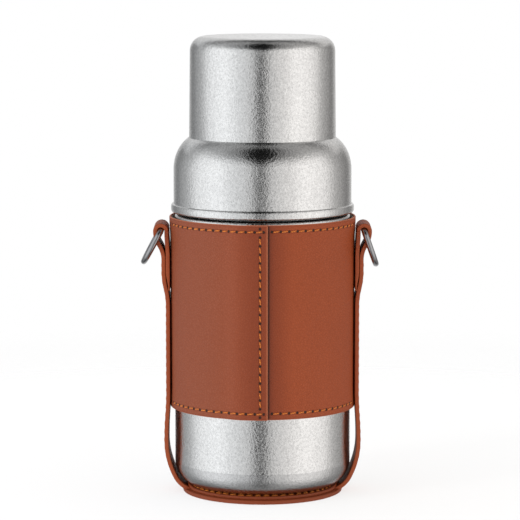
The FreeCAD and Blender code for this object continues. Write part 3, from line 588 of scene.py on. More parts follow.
# %% [markdown]
# ### The shoulder
# The dome rises from a rolled bead. On the real flask the sheet is rolled outwards and back, which leaves a round
# ring with a fine groove above it. The bead could be a separate torus, but then its groove would be a crack, so it
# is part of the outline and the groove is one more corner. The dome's big corner is cut off level where the neck
# passes through.

# %% The dome and its bead
bead_r = radius("shoulder_shell")
bead_low = low("shoulder_shell")
dome_r = bead_r - 1.3 * MM
DOME_CORNER = 18.0 * MM
corner_z = 162.1 * MM
dome_top = 180.1 * MM
neck_r = 30.8 * MM
neck_in = neck_r - 1.2 * MM
bead_h = 4.2 * MM
dome_in = dome_r - WALL
neck_z = corner_z + math.sqrt(DOME_CORNER ** 2 - (neck_r - (dome_r - DOME_CORNER)) ** 2)
dome = turned([
    (dome_r, bead_low + bead_h, 0.5 * MM),
    (dome_r, dome_top, DOME_CORNER),
    (neck_in, dome_top, 0),
    (neck_in, dome_top - WALL, 0),
    (dome_in, dome_top - WALL, DOME_CORNER - WALL),
    (dome_in, bead_low + 0.2 * MM, 0.1 * MM),
    (dome_r, bead_low, 0.3 * MM),
    (bead_r, bead_low, 1.55 * MM),
    (bead_r, bead_low + bead_h, 1.55 * MM),
])
cut = bmesh.ops.bisect_plane(dome, geom=dome.verts[:] + dome.edges[:] + dome.faces[:], dist=1e-6,
                             plane_co=(0, 0, neck_z), plane_no=(0, 0, 1), clear_outer=True)
rim = [e for e in cut["geom_cut"] if isinstance(e, bmesh.types.BMEdge)]
bmesh.ops.bridge_loops(dome, edges=rim)
bmesh.ops.recalc_face_normals(dome, faces=dome.faces[:])
piece("shoulder_dome", dome, steel, "shoulder", ["shoulder_shell"])

# %% [markdown]
# A flat steel ring trims the dome where the neck comes through. It is narrow and seldom seen, so four corners,
# slightly rounded, are enough.

# %% The trim ring round the neck
trim_r, trim_low, trim_high = round_part("neck_trim_ring")
trim_in = trim_r - 3.2 * MM
trim = turned([
    (trim_r, trim_low, 0.1 * MM),
    (trim_r, trim_high, 0.35 * MM),
    (trim_in, trim_high, 0.35 * MM),
    (trim_in, trim_low, 0.1 * MM),
])
piece("neck_trim", trim, inner_steel, "shoulder", ["neck_trim_ring"])

# %% [markdown]
# ### The bottle
# The body is a tube rolled in at the top, and the base is a pressed cup welded under it. The weld is ground flush,
# but it stays visible as a faint line. A painted line would not catch the light, so the tube's foot and the base's
# rim each turn in by a little less than a tenth of a millimetre where they meet.

# %% The body tube
body_r, weld_z, body_top = round_part("outer_shell")
mouth_r = 39.0 * MM
weld_r = body_r - 0.08 * MM
tube = turned([
    (weld_r, weld_z, 0),
    (body_r, weld_z + 0.35 * MM, 0.1 * MM),
    (body_r, body_top, 2.2 * MM),
    (mouth_r, body_top, 0),
    (mouth_r, body_top - WALL, 0),
    (body_r - WALL, body_top - WALL, 1.6 * MM),
    (body_r - WALL, weld_z, 0),
])
piece("body_tube", tube, steel, "bottle", ["outer_shell"])

# %% [markdown]
# The base is pressed from sheet: a big rounded corner, a flat ring to stand on, and a shallow recess in the middle.
# A plain rounded end would be simpler, but the recess shows when the bottle is out of its carrier.

# %% The pressed base
base_z = low("base_shell")
recess_r = 26.0 * MM
recess_z = base_z + 2.5 * MM
base = turned([
    (weld_r, weld_z, 0),
    (body_r, weld_z - 0.3 * MM, 0),
    (body_r, base_z, 11.6 * MM),
    (recess_r, base_z, 1.2 * MM),
    (recess_r, recess_z, 0.6 * MM),
    (0.0, recess_z, 0),
    (0.0, recess_z + WALL, 0),
    (recess_r + WALL, recess_z + WALL, 1.2 * MM),
    (recess_r + WALL, base_z + WALL, 0.6 * MM),
    (body_r - WALL, base_z + WALL, 11.0 * MM),
    (body_r - WALL, weld_z, 0),
])
piece("body_base", base, base_steel, "bottle", ["base_shell"])

# %% [markdown]
# ## Leather pieces
# A leather piece is a flat sheet that has been bent. It could be carved out of a solid, but then neither grain nor
# stitches would follow it. So a grid of faces is laid out flat, each point is carried to its bent place, and a
# Solidify modifier gives the sheet its thickness. The flat layout is kept as a UV map in metres, so stitches and
# edges are always at their real distances. Solidify puts the cut edges in a second material, and a small Bevel rubs
# them round.

# %% The helper that bends a sheet
def bent_sheet(name, size, cells, bend, thickness, materials, body, stands_for=(), rub=0.35 * MM,
               share=None):
    """bend takes (along, across) in metres from the sheet's corner and gives a place in space.
    share takes the same and gives how much of the thickness the sheet keeps there."""
    bm = bmesh.new()
    bmesh.ops.create_grid(bm, x_segments=cells[0], y_segments=cells[1], size=0.5)
    uv = bm.loops.layers.uv.new("sheet")
    flat = {}
    for vert in bm.verts:
        flat[vert] = ((vert.co.x + 0.5) * size[0], (vert.co.y + 0.5) * size[1])
    for face in bm.faces:
        for loop in face.loops:
            u, v = flat[loop.vert]
            loop[uv].uv = (u, v - size[1] / 2)
    kept = [share(u, v) for u, v in flat.values()] if share else []
    for vert, (u, v) in flat.items():
        vert.co = bend(u, v)
    obj = piece(name, bm, materials, body, stands_for, sharp=60.0)
    wall = obj.modifiers.new("thickness", "SOLIDIFY")
    wall.thickness = thickness
    wall.offset = 0.0
    wall.use_even_offset = True
    wall.material_offset_rim = 1
    if kept:
        group = obj.vertex_groups.new(name="thickness kept")
        for index, weight in enumerate(kept):
            group.add([index], weight, "REPLACE")
        wall.vertex_group = group.name
    edge = obj.modifiers.new("rubbed edges", "BEVEL")
    edge.width = rub
    edge.segments = 3
    edge.limit_method = "ANGLE"
    edge.angle_limit = math.radians(50)
    edge.use_clamp_overlap = True
    return obj


def smoothstep(t):
    t = min(1.0, max(0.0, t))
    return t * t * (3 - 2 * t)


# %% [markdown]
# ### The sleeve
# One sheet goes once round the bottle. Its right end is tucked under, and its left end climbs over it and is sewn
# down at the front. Seen from above, the radius is even nearly all the way, then steps out by one thickness over
# about a centimetre. Cloth simulation could find that step, but stiff leather hardly sags, and a formula puts the
# edge exactly where the stitches need it. At the top and bottom the leather opens a little, as a rolled sheet does.

# %% The sleeve's shape
LEATHER = 1.2 * MM
PITCH = 4.2 * MM
HEM = 3.2 * MM
SEAM = 3.5 * MM
sleeve_low = low("sleeve_panel")
sleeve_high = high("sleeve_panel")
sleeve_h = sleeve_high - sleeve_low
sleeve_in = 44.8 * MM
sleeve_mid = sleeve_in + LEATHER / 2
step_out = LEATHER + 0.1 * MM
tuck = -math.asin(8.0 * MM / sleeve_in)
edge_angle = 2 * math.pi + math.asin(2.4 * MM / (sleeve_in + LEATHER))
climb_end = 2 * math.pi - math.asin(10.4 * MM / sleeve_in)
climb_start = climb_end - 9.0 * MM / sleeve_in
wrap_length = (edge_angle - tuck) * sleeve_mid
seam_u = wrap_length - SEAM


def flare(height):
    """How far the sleeve opens at a height measured from its lower edge."""
    top = smoothstep((height - sleeve_h + 14 * MM) / (14 * MM))
    foot = smoothstep((12 * MM - height) / (12 * MM))
    return 0.5 * MM * top + 0.25 * MM * foot


def on_sleeve(along, up, off=0.0):
    """A place on the sleeve's middle surface, or off metres outside it."""
    angle = tuck + along / sleeve_mid
    out = sleeve_mid + off + flare(up)
    out += step_out * smoothstep((angle - climb_start) / (climb_end - climb_start))
    out += 0.35 * MM * smoothstep((along - wrap_length + 2.4 * MM) / (1.6 * MM))
    return Vector((out * math.sin(angle), -out * math.cos(angle), sleeve_low + up))


tan = (0.40, 0.072, 0.014, 1)
deep_tan = (0.20, 0.030, 0.005, 1)
lap_u = (edge_angle - 2 * math.pi - tuck) * sleeve_mid
# The sleeve's left side is painted a cooler colour, a painted sheen of the light from the left.
sleeve_leather = leather("sleeve_leather", tan, deep_tan, (sleeve_h / 2 - HEM, sleeve_h / 2),
                         seam=seam_u, lap=lap_u, end=wrap_length, painted_left_sheen=(0.318, 0.077, 0.029, 1))
cut_edge = leather_edge("cut_edge", (0.52, 0.100, 0.019, 1), (0.26, 0.043, 0.008, 1))
# The lapped edge is painted lighter than the cut edge, a painted highlight of the light it catches.
lap_edge_highlight = leather_edge("lapped_edge_highlight", (0.66, 0.22, 0.11, 1), (0.44, 0.12, 0.05, 1))
bent_sheet("sleeve", (wrap_length, sleeve_h), (264, 40), on_sleeve, LEATHER,
           [sleeve_leather, lap_edge_highlight], "carrier", ["sleeve_panel"], rub=0.5 * MM)
print(f"wrap {wrap_length / MM:.1f} mm long, {sleeve_h / MM:.1f} mm high")

# %% [markdown]
# A thin cloth is glued to the sleeve's inside, and it shows when the bottle is out. A plain tube would part from
# the leather where the sleeve opens at its ends, so the cloth is bent outwards there too, by a little less than the
# leather.

# %% The sleeve's cloth lining
lining_r = radius("sleeve_lining") - 0.2 * MM
lining_low = low("sleeve_lining")
lining_h = high("sleeve_lining") - lining_low


def on_lining(along, up):
    angle = along / lining_r
    out = lining_r + flare(up) * 0.6
    return Vector((out * math.sin(angle), -out * math.cos(angle), lining_low + up))


bent_sheet("cloth_lining", (2 * math.pi * lining_r, lining_h), (180, 24), on_lining, 0.35 * MM,
           [cloth, cloth], "carrier", ["sleeve_lining"], rub=0.1 * MM)

# %% [markdown]
# ### The strap
# The strap is one strip whose middle line is straight runs and arcs: out along the seat, up round the bottle's
# foot, in to the sleeve, up to the ring, over it and back down behind itself. A Curve object could draw it, but its
# control points would not say how long the strip is. `Path` walks the runs one after another and can say where any
# distance along them lies, so stitches can be counted along it.

# %% A path of straight runs and arcs
class Path:
    def __init__(self, x, z, heading):
        self.end = (x, z, heading)
        self.runs = []

    def straight(self, length):
        self.add(length, 0.0)

    def turn(self, bend_radius, degrees):
        """Left for positive degrees, right for negative."""
        angle = math.radians(degrees)
        self.add(bend_radius * abs(angle), math.copysign(1 / bend_radius, angle))

    def sway(self, along, across):
        """Two equal and opposite arcs that carry the line sideways."""
        angle = math.degrees(2 * math.atan2(abs(across), along))
        bend_radius = along / (2 * math.sin(math.radians(angle)))
        angle = math.copysign(angle, across)
        self.turn(bend_radius, angle)
        self.turn(bend_radius, -angle)

    def add(self, length, bend):
        self.runs.append((*self.end, length, bend))
        self.end = self.walk(self.runs[-1], length)

    @staticmethod
    def walk(run, distance):
        x, z, heading, _, bend = run
        if bend == 0:
            return x + distance * math.cos(heading), z + distance * math.sin(heading), heading
        now = heading + distance * bend
        x += (math.sin(now) - math.sin(heading)) / bend
        z += (math.cos(heading) - math.cos(now)) / bend
        return x, z, now

    def length(self, count=None):
        return sum(run[3] for run in self.runs[:count])

    def at(self, distance):
        for run in self.runs:
            if distance <= run[3]:
                return self.walk(run, distance)
            distance -= run[3]
        return self.walk(self.runs[-1], self.runs[-1][3] + distance)


# %% [markdown]
# Half the strap is walked here, from the middle of the seat to the tip of the folded end. The bend at the foot is a
# tight arc and then a wide one, as the leather goes round the bottle's corner and then eases upright. A single arc
# would be simpler, but it could not do both.

# %% The arm's path
STRAP = 2.0 * MM
STRAP_WIDTH = 20.0 * MM
WIRE = 3.0 * MM
FOOT_BEND = 12.9 * MM
SIDE_BEND = 38.9 * MM
FOOT_ANGLE = 62.0
FOLD_TIP = 102.0 * MM
arm_in = sleeve_in + LEATHER + 0.05 * MM
side_x = arm_in + STRAP / 2
fold_x = side_x + STRAP + 0.15 * MM
bar_x = arm_in + STRAP + 0.65 * MM + 0.3 * MM + WIRE / 2
bar_z = 131.9 * MM
loop_r = WIRE / 2 + 0.3 * MM + STRAP / 2
steep = math.radians(FOOT_ANGLE)
bend_in = FOOT_BEND * math.sin(steep) + SIDE_BEND * (1 - math.sin(steep))
bend_x = side_x + 1.0 * MM - bend_in

arm = Path(0.0, STRAP / 2, 0.0)
arm.straight(bend_x)
arm.turn(FOOT_BEND, FOOT_ANGLE)
arm.turn(SIDE_BEND, 90.0 - FOOT_ANGLE)
arm.sway(26.0 * MM, arm.end[0] - side_x)
arm.straight(94.0 * MM - arm.end[1])
arm.sway(18.0 * MM, side_x - fold_x)
loop_rise = 3.5 * (bar_x + loop_r - fold_x)
arm.straight(bar_z - loop_rise - arm.end[1])
arm.sway(loop_rise, fold_x - bar_x - loop_r)
arm.turn(loop_r, 180.0)
to_loop_top = arm.length()
arm.sway(loop_rise, side_x - arm.end[0])
arm.straight(arm.end[1] - FOLD_TIP)
print(f"half the strap is {arm.length() / MM:.0f} mm long, its ring bar at x {bar_x / MM:.2f} mm")

# %% [markdown]
# Each arm is two sheets that meet at the top of the loop: the outer layer, and the folded end that lies behind it.
# One sheet could make both, but the folded end is pared thin towards its tip, and only that part's thickness may
# change. A vertex group tells Solidify how much thickness to keep.

# %% The two arms
strap_tan, strap_deep = (0.36, 0.068, 0.015, 1), (0.17, 0.028, 0.005, 1)
strap_row = STRAP_WIDTH / 2 - 2.2 * MM
strap_leather = leather("strap_leather", strap_tan, strap_deep, (strap_row, STRAP_WIDTH / 2))


def arm_bend(side, start):
    """Carries a flat strip on to the arm on one side, from a start distance along the path."""
    def bend(along, across):
        x, z, heading = arm.at(start + along)
        y = (across - STRAP_WIDTH / 2) * side
        return Vector((side * x, y, z))
    return bend


SEAT_START = bend_x + 2.0 * MM
for side, name in ((1, "right"), (-1, "left")):
    outer_length = to_loop_top - SEAT_START
    bent_sheet(f"strap_arm_{name}", (outer_length, STRAP_WIDTH), (210, 8), arm_bend(side, SEAT_START), STRAP,
               [strap_leather, cut_edge], "carrier", ["carrier_strap"])

# %% [markdown]
# The end that is folded back is pared to about a third of its thickness over its last centimetre, so that it leaves
# no step. The strip could simply be thinned evenly from both faces, but then a gap would open at the sleeve. So it
# also moves inwards by half of what it loses, and the face on the sleeve's side stays where it is.

# %% The folded ends
PARED_FROM = 112.0 * MM
PARED_BY = 0.62


def pared(z):
    """0 where the end has its full thickness, 1 at its tip."""
    return smoothstep((PARED_FROM - z) / (PARED_FROM - FOLD_TIP))


def fold_bend(side):
    def bend(along, across):
        x, z, heading = arm.at(to_loop_top + along)
        return Vector((side * (x - PARED_BY * MM * pared(z)), (across - STRAP_WIDTH / 2) * side, z))
    return bend


def fold_share(along, across):
    return 1.0 - PARED_BY * pared(arm.at(to_loop_top + along)[1])


fold_length = arm.length() - to_loop_top
for side, name in ((1, "right"), (-1, "left")):
    bent_sheet(f"strap_fold_{name}", (fold_length, STRAP_WIDTH), (60, 8), fold_bend(side), STRAP,
               [strap_leather, cut_edge], "carrier", ["carrier_strap"], rub=0.3 * MM,
               share=fold_share)

# %% [markdown]
# ### The seat
# The bottle stands on two round layers of leather. The lower one is part of the strap. The upper one is sewn on
# top, so its edge rides up a little where the arms rise under it. Two flat discs would cut through the arms there,
# so both start as turned discs, and the upper disc's points are then lifted over the arms.

# %% The seat's two layers
SEAT_R = 40.0 * MM
SEAT_TOP_R = radius("base_lining")
SEAT_TOP = high("base_lining")
seat_row = SEAT_TOP_R - 2.4 * MM
disc_leather = leather("seat_leather", strap_tan, strap_deep, (seat_row, SEAT_TOP_R))


def arm_lift(x, y):
    """How far an arm has lifted the seat at a place, over the arm and a little beside it."""
    reach = abs(x) - bend_x
    if reach <= 0:
        return 0.0
    inner = FOOT_BEND - STRAP / 2
    rise = inner - math.sqrt(max(0.0, inner ** 2 - reach ** 2))
    return rise * smoothstep((18 * MM - abs(y)) / (8 * MM))


def add_round_uv(bm):
    """U runs round the disc and V is the distance from its centre, both in metres."""
    uv = bm.loops.layers.uv.new("sheet")
    for face in bm.faces:
        middle = math.atan2(face.calc_center_median().y, face.calc_center_median().x)
        for loop in face.loops:
            place = loop.vert.co
            out = math.hypot(place.x, place.y)
            turn = math.atan2(place.y, place.x) - middle if out > 1e-6 else 0.0
            turn = middle + (turn + math.pi) % (2 * math.pi) - math.pi
            loop[uv].uv = (turn * seat_row, out)


seat = turned([
    (0.0, 0.0, 0),
    (SEAT_R, 0.0, 0.5 * MM),
    (SEAT_R, STRAP, 0.4 * MM),
    (SEAT_R * 0.6, STRAP, 0),
    (0.0, STRAP, 0),
], closed=False)
add_round_uv(seat)
piece("seat_bottom", seat, disc_leather, "carrier", ["carrier_strap"])

seat_top = turned([
    (0.0, STRAP, 0),
    (SEAT_TOP_R - 5 * MM, STRAP, 0),
    (SEAT_TOP_R, STRAP, 0.35 * MM),
    (SEAT_TOP_R, SEAT_TOP, 0.45 * MM),
    (seat_row, SEAT_TOP - 0.15 * MM, 0.4 * MM),
    (SEAT_TOP_R - 5 * MM, SEAT_TOP, 0.6 * MM),
    (0.0, SEAT_TOP, 0),
], closed=False)
add_round_uv(seat_top)
for vert in seat_top.verts:
    vert.co.z += arm_lift(vert.co.x, vert.co.y)
piece("seat_top", seat_top, disc_leather, "carrier", ["base_lining"])

# %% [markdown]
# ### Stitches
# Every stitch is a separate bead of thread, pulled down at both ends into its needle holes. A curve with an array
# would slide off its holes on a bend, so each stitch is set at its own place. A low-sided sphere stretched along
# the row is enough, because there are hundreds. The holes in the leather's material lie at whole pitches along each
# row, so the stitches are centred on the half pitches between them.

# %% The helper that sews
THREAD = 0.36 * MM


def sew(name, places, body, node, rise=0.1):
    """places is a list of (centre, along, outwards) vectors. rise is how far the beads' middles stand proud,
    in half thicknesses."""
    bm = bmesh.new()
    for centre, along, outwards in places:
        along = along.normalized()
        outwards = (outwards - along * outwards.dot(along)).normalized()
        slant = Matrix.Rotation(math.radians(9.0), 3, outwards)
        along = slant @ along
        across = outwards.cross(along)
        frame_3 = Matrix((along * 1.62 * MM, across * THREAD, outwards * THREAD)).transposed().to_4x4()
        frame_3.translation = centre + outwards * THREAD * rise
        bmesh.ops.create_uvsphere(bm, u_segments=8, v_segments=6, radius=1.0,
                                  matrix=frame_3 @ Matrix.Rotation(math.pi / 2, 4, "Y"))
    bmesh.ops.recalc_face_normals(bm, faces=bm.faces[:])
    print(f"{len(places)} stitches")
    return piece(name, bm, thread, body, [node], sharp=180.0)


def clear_of_arms(place):
    return abs(place.y) > (STRAP_WIDTH + PITCH) / 2


def sheet_stitch(surface_at, along, across, off, row_is_along=True):
    """Centre, direction and outward normal of a stitch on a bent surface."""
    small = 0.2 * MM  # far enough apart to give a direction
    centre = surface_at(along, across, off)
    du = surface_at(along + small, across, off) - surface_at(along - small, across, off)
    dv = surface_at(along, across + small, off) - surface_at(along, across - small, off)
    outwards = du.cross(dv)
    return centre, (du if row_is_along else dv), outwards


# %% [markdown]
# Both hems and the front seam are sewn with the same thread. The rows could run without a break, but nothing shows
# under the flap or behind the strap, and beads there would stick into the leather that lies on them, so those
# places are left out.

# %% The sleeve's stitches
sleeve_places = []
first_u = lap_u + 1.6 * MM
for row_up in (HEM, sleeve_h - HEM):
    for i in range(int(wrap_length / PITCH)):
        u = (i + 0.5) * PITCH
        spot = sheet_stitch(on_sleeve, u, row_up, LEATHER / 2)
        if u > first_u and u < wrap_length - 1.8 * MM and clear_of_arms(spot[0]):
            sleeve_places.append(spot)
half_rows = int((sleeve_h / 2 - 4.5 * MM) / PITCH)
for i in range(-half_rows, half_rows):
    up = sleeve_h / 2 + (i + 0.5) * PITCH
    sleeve_places.append(sheet_stitch(on_sleeve, seam_u, up, LEATHER / 2, row_is_along=False))
sew("sleeve_stitches", sleeve_places, "carrier", "sleeve_stitching")

# %% [markdown]
# Two rows of stitches run up each arm, a little in from its edges. They are walked along the same path as the
# leather, and mirrored for the other arm. They are pulled in harder than the sleeve's, so little of them stands
# proud of the edge-on strap.

# %% The strap's stitches
strap_places = []
last = arm.length(9)
for i in range(int((last - SEAT_START) / PITCH)):
    distance = SEAT_START + (i + 0.5) * PITCH
    x, z, heading = arm.at(distance)
    if x < SEAT_R + 1.0 * MM and z < 6 * MM:
        continue
    outwards = Vector((math.sin(heading), 0.0, -math.cos(heading)))
    along = Vector((math.cos(heading), 0.0, math.sin(heading)))
    for y in (-1, 1):
        middle = Vector((x, y * strap_row, z)) + outwards * STRAP / 2
        strap_places.append((middle, along, outwards))
        flip = Vector((-1, 1, 1))
        strap_places.append((middle * flip, along * flip, outwards * flip))
sew("strap_stitches", strap_places, "carrier", "strap_stitching", rise=-0.45)

# %% [markdown]
# One round of stitches holds the seat's two layers together. It could run all the way round, but it stops on both
# sides where the strap's arms lie between the layers.

# %% The seat's stitches
seat_places = []
for i in range(int(2 * math.pi * seat_row / PITCH)):
    turn = (i + 0.5) * PITCH / seat_row
    x, y = seat_row * math.cos(turn), seat_row * math.sin(turn)
    z = SEAT_TOP + arm_lift(x, y)
    if abs(y) > 10 * MM:
        seat_places.append((Vector((x, y, z)), Vector((-math.sin(turn), math.cos(turn), 0)), Vector((0, 0, 1))))
sew("seat_stitches", seat_places, "carrier", "base_stitching")

# %% [markdown]
# ### The D-rings
# A D-ring is one length of round wire: a straight bar, two rounded corners, two short legs and a half-round bow. A
# bevelled curve could do it, but its handles only come near to true arcs. So a circle of edges is carried along
# those runs, by extruding it along the straight ones and spinning it round the bends, until it meets its own start.

# %% The rings' wire
RING_HALF = 12.0 * MM
RING_DEPTH = 18.4 * MM
RING_CORNER = 3.0 * MM


def bent_wire():
    bm = bmesh.new()
    legs = RING_DEPTH - RING_HALF
    turn = Matrix.Rotation(math.pi / 2, 4, "X")
    start = Matrix.Translation((0, RING_CORNER - RING_HALF, 0)) @ turn
    bmesh.ops.create_circle(bm, segments=20, radius=WIRE / 2, matrix=start)
    front = bm.edges[:]

    def straight(front, direction):
        moved = bmesh.ops.extrude_edge_only(bm, edges=front)["geom"]
        points = [g for g in moved if isinstance(g, bmesh.types.BMVert)]
        bmesh.ops.translate(bm, verts=points, vec=direction)
        return [g for g in moved if isinstance(g, bmesh.types.BMEdge) and all(v in points for v in g.verts)]

    def bend(front, centre, angle, steps):
        ends = bmesh.ops.spin(bm, geom=front, cent=centre, axis=(1, 0, 0), angle=angle, steps=steps)
        return [g for g in ends["geom_last"] if isinstance(g, bmesh.types.BMEdge)]

    front = straight(front, (0, 2 * (RING_HALF - RING_CORNER), 0))
    front = bend(front, (0, RING_HALF - RING_CORNER, -RING_CORNER), -math.pi / 2, 10)
    front = straight(front, (0, 0, RING_CORNER - legs))
    front = bend(front, (0, 0, -legs), -math.pi, 40)
    front = straight(front, (0, 0, legs - RING_CORNER))
    bend(front, (0, RING_CORNER - RING_HALF, -RING_CORNER), -math.pi / 2, 10)
    bmesh.ops.remove_doubles(bm, verts=bm.verts[:], dist=1e-5)
    bmesh.ops.recalc_face_normals(bm, faces=bm.faces[:])
    return bm


for side, name, tilt in ((1, "right", 19.5), (-1, "left", 28.5)):
    ring = bent_wire()
    lean = Matrix.Rotation(math.radians(-side * tilt), 4, "Y")
    bmesh.ops.transform(ring, matrix=Matrix.Translation((side * bar_x, 0, bar_z)) @ lean, verts=ring.verts[:])
    open_edges = sum(1 for e in ring.edges if e.is_boundary)
    piece(f"ring_{name}", ring, gunmetal, f"{name}_ring", [f"d_ring_{name}"])
    print("open edges:", open_edges)

# %% [markdown]
# ### The pour button
# The button is a moulded cap with a dished top for the thumb and a hollow underside that holds the coil. A stack of
# cylinders would leave seams, so its outline is turned, like the steel parts.

# %% The button
button_r = 12.8 * MM
button_foot, button_top = low("pour_button"), high("pour_button")
button_under = button_top - 2.0 * MM
skirt = 1.5 * MM
button = turned([
    (2.0 * MM, button_foot, 0),
    (4.0 * MM, button_foot, 0.2 * MM),
    (4.0 * MM, button_under, 0),
    (button_r - skirt, button_under, 0.8 * MM),
    (button_r - skirt, button_foot, 0),
    (button_r + skirt, button_foot, 0.2 * MM),
    (button_r + skirt, button_foot + skirt, 0.2 * MM),
    (button_r, button_foot + skirt, 0.1 * MM),
    (button_r, button_top, 1.2 * MM),
    (9.0 * MM, button_top, 1.0 * MM),
    (7.0 * MM, button_top - 0.5 * MM, 1.2 * MM),
    (0.0, button_top - 0.7 * MM, 0),
    (0.0, button_under, 0),
    (2.0 * MM, button_under, 0),
])
piece("thumb_button", button, button_plastic, "pour_valve", ["pour_button"])

# %% [markdown]
# ### The coil under the button
# The coil is one round wire, wound six times, that pushes the button back up. The Screw modifier could wind it, but
# `spin` does the same with one more number: how far to rise at every step. The coil rides on the button's body, so
# it moves with the button.

# %% The coil
COIL_WIRE = 0.9 * MM
COIL_TURNS = 6
STEPS_PER_TURN = 28
outer_r, coil_low, coil_high = round_part("button_spring")
coil_r = outer_r - COIL_WIRE / 2
coil_h = coil_high - coil_low
coil_steps = COIL_TURNS * STEPS_PER_TURN
coil = bmesh.new()
stand = Matrix.Translation((coil_r, 0, coil_low + COIL_WIRE / 2)) @ Matrix.Rotation(math.pi / 2, 4, "X")
bmesh.ops.create_circle(coil, cap_ends=True, segments=10, radius=COIL_WIRE / 2, matrix=stand)
bmesh.ops.spin(coil, geom=coil.verts[:] + coil.edges[:] + coil.faces[:], cent=(0, 0, 0), axis=(0, 0, 1),
               dvec=(0, 0, (coil_h - COIL_WIRE) / coil_steps), angle=2 * math.pi * COIL_TURNS,
               steps=coil_steps, use_merge=False)
bmesh.ops.recalc_face_normals(coil, faces=coil.faces[:])
coil = piece("button_coil", coil, wire_steel, "pour_valve", ["button_spring"], sharp=50.0)
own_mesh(coil)

# %% [markdown]
# ## Floor, light and camera
# The flask stands on a sheet of frosted acrylic, as small products often do in a studio: light passes up through
# it, so it stays pale and takes only a soft shadow. A large white plane would show a grey horizon, so this one
# fades out before its edge.

# %% Floor
floor_mesh = bmesh.new()
bmesh.ops.create_circle(floor_mesh, cap_ends=True, segments=96, radius=0.6)
mesh = bpy.data.meshes.new("floor")
floor_mesh.to_mesh(mesh)
floor_mesh.free()
floor = put_in_scene("floor", mesh)
floor_finish, tree, shader, place = new_material("frosted_acrylic", Roughness=0.85)
mottle = noise(tree, place["Object"], 9.0, 3.0)
tree.links.new(blend_colour(tree, mottle, (0.93, 0.93, 0.93, 1), (0.96, 0.96, 0.96, 1)), shader.inputs["Base Color"])
from_middle = put(tree, "ShaderNodeVectorMath", {0: place["Object"]}, operation="LENGTH").outputs["Value"]
solid = maths(tree, "MULTIPLY", fade(tree, from_middle, 0.25, 0.58), 0.42)
tree.links.new(solid, shader.inputs["Alpha"])
shader.inputs["Emission Color"].default_value = (1, 1, 1, 1)
shader.inputs["Emission Strength"].default_value = 0.3
mesh.materials.append(floor_finish)
floor.visible_glossy = False

# %% [markdown]
# Polished metal has no look of its own: it shows the room. Area lights alone would leave it mostly black, so the
# whole room is drawn as a world. Two tall, soft panels stand left and right of the camera with a narrow dark gap
# between them, which widens higher up and is a little paler just above eye level. The ceiling is dark, and the pale
# back wall is lit at the top, so a flat top stays bright when it is seen from above. A round steel body then shows
# one dark upright band with bright bands beside it. Matt surfaces need an even light instead, so rays that leave a
# matt surface see a paler, softer copy of the room.

# %% The studio as a world
world = bpy.data.worlds.new("studio")
bpy.context.scene.world = world
world.use_nodes = True
tree = world.node_tree
towards = put(tree, "ShaderNodeTexCoord").outputs["Generated"]
x, y, z = put(tree, "ShaderNodeSeparateXYZ", {0: towards}).outputs
azimuth = maths(tree, "ARCTAN2", x, maths(tree, "MULTIPLY", y, -1.0))
off_gap = maths(tree, "ABSOLUTE", maths(tree, "ADD", azimuth, math.radians(2.5)))
gap_grows = put(tree, "ShaderNodeMapRange", {0: z, 1: 0.40, 2: 0.95, 3: 0.0, 4: math.radians(36.0)}).outputs[0]
off_gap = maths(tree, "SUBTRACT", off_gap, gap_grows, clamp=False)
round_room = put(tree, "ShaderNodeMapRange", {0: off_gap, 1: 0.0, 2: math.pi}).outputs[0]
height = put(tree, "ShaderNodeMapRange", {0: z, 1: -1.0, 2: 1.0}).outputs[0]


def ramp(tree, value, stops):
    """stops is a list of (place from 0 to 1, brightness)."""
    node = put(tree, "ShaderNodeValToRGB", {0: value})
    node.color_ramp.interpolation = "EASE"
    steps = node.color_ramp.elements
    while len(steps) < len(stops):
        steps.new(1.0)
    for step, (where, level) in zip(steps, stops):
        step.position = where
        step.color = (level, level, level, 1)
    return node.outputs["Color"]


def degrees(*stops):
    return [(angle / 180.0, level) for angle, level in stops]


panels = ramp(tree, round_room, degrees((0, 0.02), (3, 0.02), (9, 0.56), (30, 0.74), (60, 1.04), (86, 0.92),
                                        (116, 0.40), (145, 0.20), (165, 0.60), (180, 0.85)))
ceiling = ramp(tree, height, [(0.0, 0.35), (0.25, 1.0), (0.68, 1.0), (0.88, 0.38), (1.0, 0.30)])
room = blend_colour(tree, 1.0, panels, ceiling, mode="MULTIPLY")
above_gap = ramp(tree, height, [(0.0, 0.0), (0.55, 0.0), (0.59, 0.13), (0.67, 0.13), (0.71, 0.0)])
room = blend_colour(tree, 1.0, room, above_gap, mode="LIGHTEN")
behind = ramp(tree, round_room, degrees((0, 0.0), (105, 0.0), (135, 0.62), (180, 0.72)))
upper_wall = ramp(tree, height, [(0.0, 0.0), (0.58, 0.0), (0.68, 1.0), (0.84, 1.0), (0.94, 0.0)])
back_light = blend_colour(tree, 1.0, behind, upper_wall, mode="MULTIPLY")
room = blend_colour(tree, 1.0, room, back_light, mode="LIGHTEN")
side = put(tree, "ShaderNodeMapRange", {0: x, 1: -0.6, 2: 0.6}).outputs[0]
tint = blend_colour(tree, side, (0.97, 0.985, 1.0, 1), (1.0, 0.975, 0.955, 1))
room = blend_colour(tree, 1.0, room, tint, mode="MULTIPLY")
shiny = put(tree, "ShaderNodeBackground", {"Color": room, "Strength": 1.0})
soft_tint = blend_colour(tree, side, (0.90, 1.0, 1.14, 1), (1.08, 0.98, 0.84, 1))
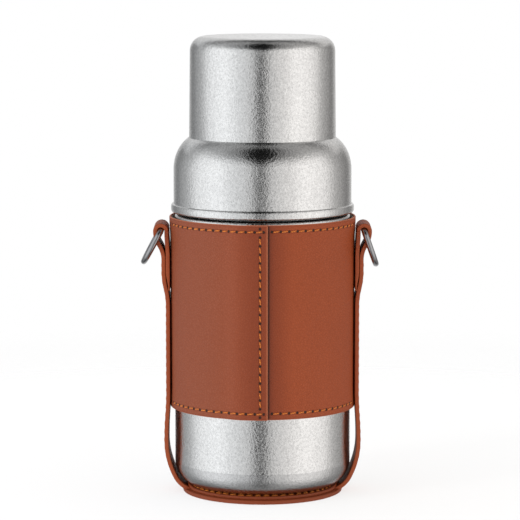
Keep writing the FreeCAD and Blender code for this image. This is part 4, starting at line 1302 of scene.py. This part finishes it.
even = blend_colour(tree, 0.55, room, soft_tint)
matt = put(tree, "ShaderNodeBackground", {"Color": even, "Strength": 1.12})
seen = put(tree, "ShaderNodeBackground", {"Color": (1, 1, 1, 1), "Strength": 1.0})
path = put(tree, "ShaderNodeLightPath")
lit = put(tree, "ShaderNodeMixShader", {0: path.outputs["Is Diffuse Ray"], 1: shiny.outputs[0],
                                        2: matt.outputs[0]})
choice = put(tree, "ShaderNodeMixShader", {0: path.outputs["Is Camera Ray"], 1: lit.outputs[0],
                                           2: seen.outputs[0]})
tree.links.new(choice.outputs[0], tree.nodes["World Output"].inputs["Surface"])
bpy.context.scene.view_settings.view_transform = "Standard"

# %% [markdown]
# The world alone lights the leather evenly, which flattens it. One tall soft box on the left models the round
# sleeve. It is hidden from reflections, because the steel already shows its own panels.

# %% One key light
KEY_AZIMUTH = math.radians(-55)
KEY_DISTANCE = 1.5
key_data = bpy.data.lights.new("key", "AREA")
key_data.shape = "RECTANGLE"
key_data.size, key_data.size_y = 0.28, 0.6
key_data.energy = 5.0
key = put_in_scene("key", key_data)
key.location = (KEY_DISTANCE * math.sin(KEY_AZIMUTH), -KEY_DISTANCE * math.cos(KEY_AZIMUTH), 0.55)
key.rotation_euler = (Vector((0, 0, 0.12)) - key.location).to_track_quat("-Z", "Y").to_euler()
key.visible_glossy = False
print("lights: the studio world and one key")

# %% [markdown]
# The camera stands well back with a long lens, which keeps the upright sides nearly parallel, and looks down by a
# few degrees, so the cup's top shows as a thin ellipse.

# %% Camera
CAMERA_DISTANCE = 1.45
CAMERA_TILT = math.radians(7.0)
LOOK_AT = 116.3 * MM
camera_data = bpy.data.cameras.new("camera")
camera_data.lens = 200.8
camera = put_in_scene("camera", camera_data)
camera.location = (-1.25 * MM, -CAMERA_DISTANCE * math.cos(CAMERA_TILT),
                   LOOK_AT + CAMERA_DISTANCE * math.sin(CAMERA_TILT))
camera.rotation_euler = (math.pi / 2 - CAMERA_TILT, 0, 0)
bpy.context.scene.camera = camera
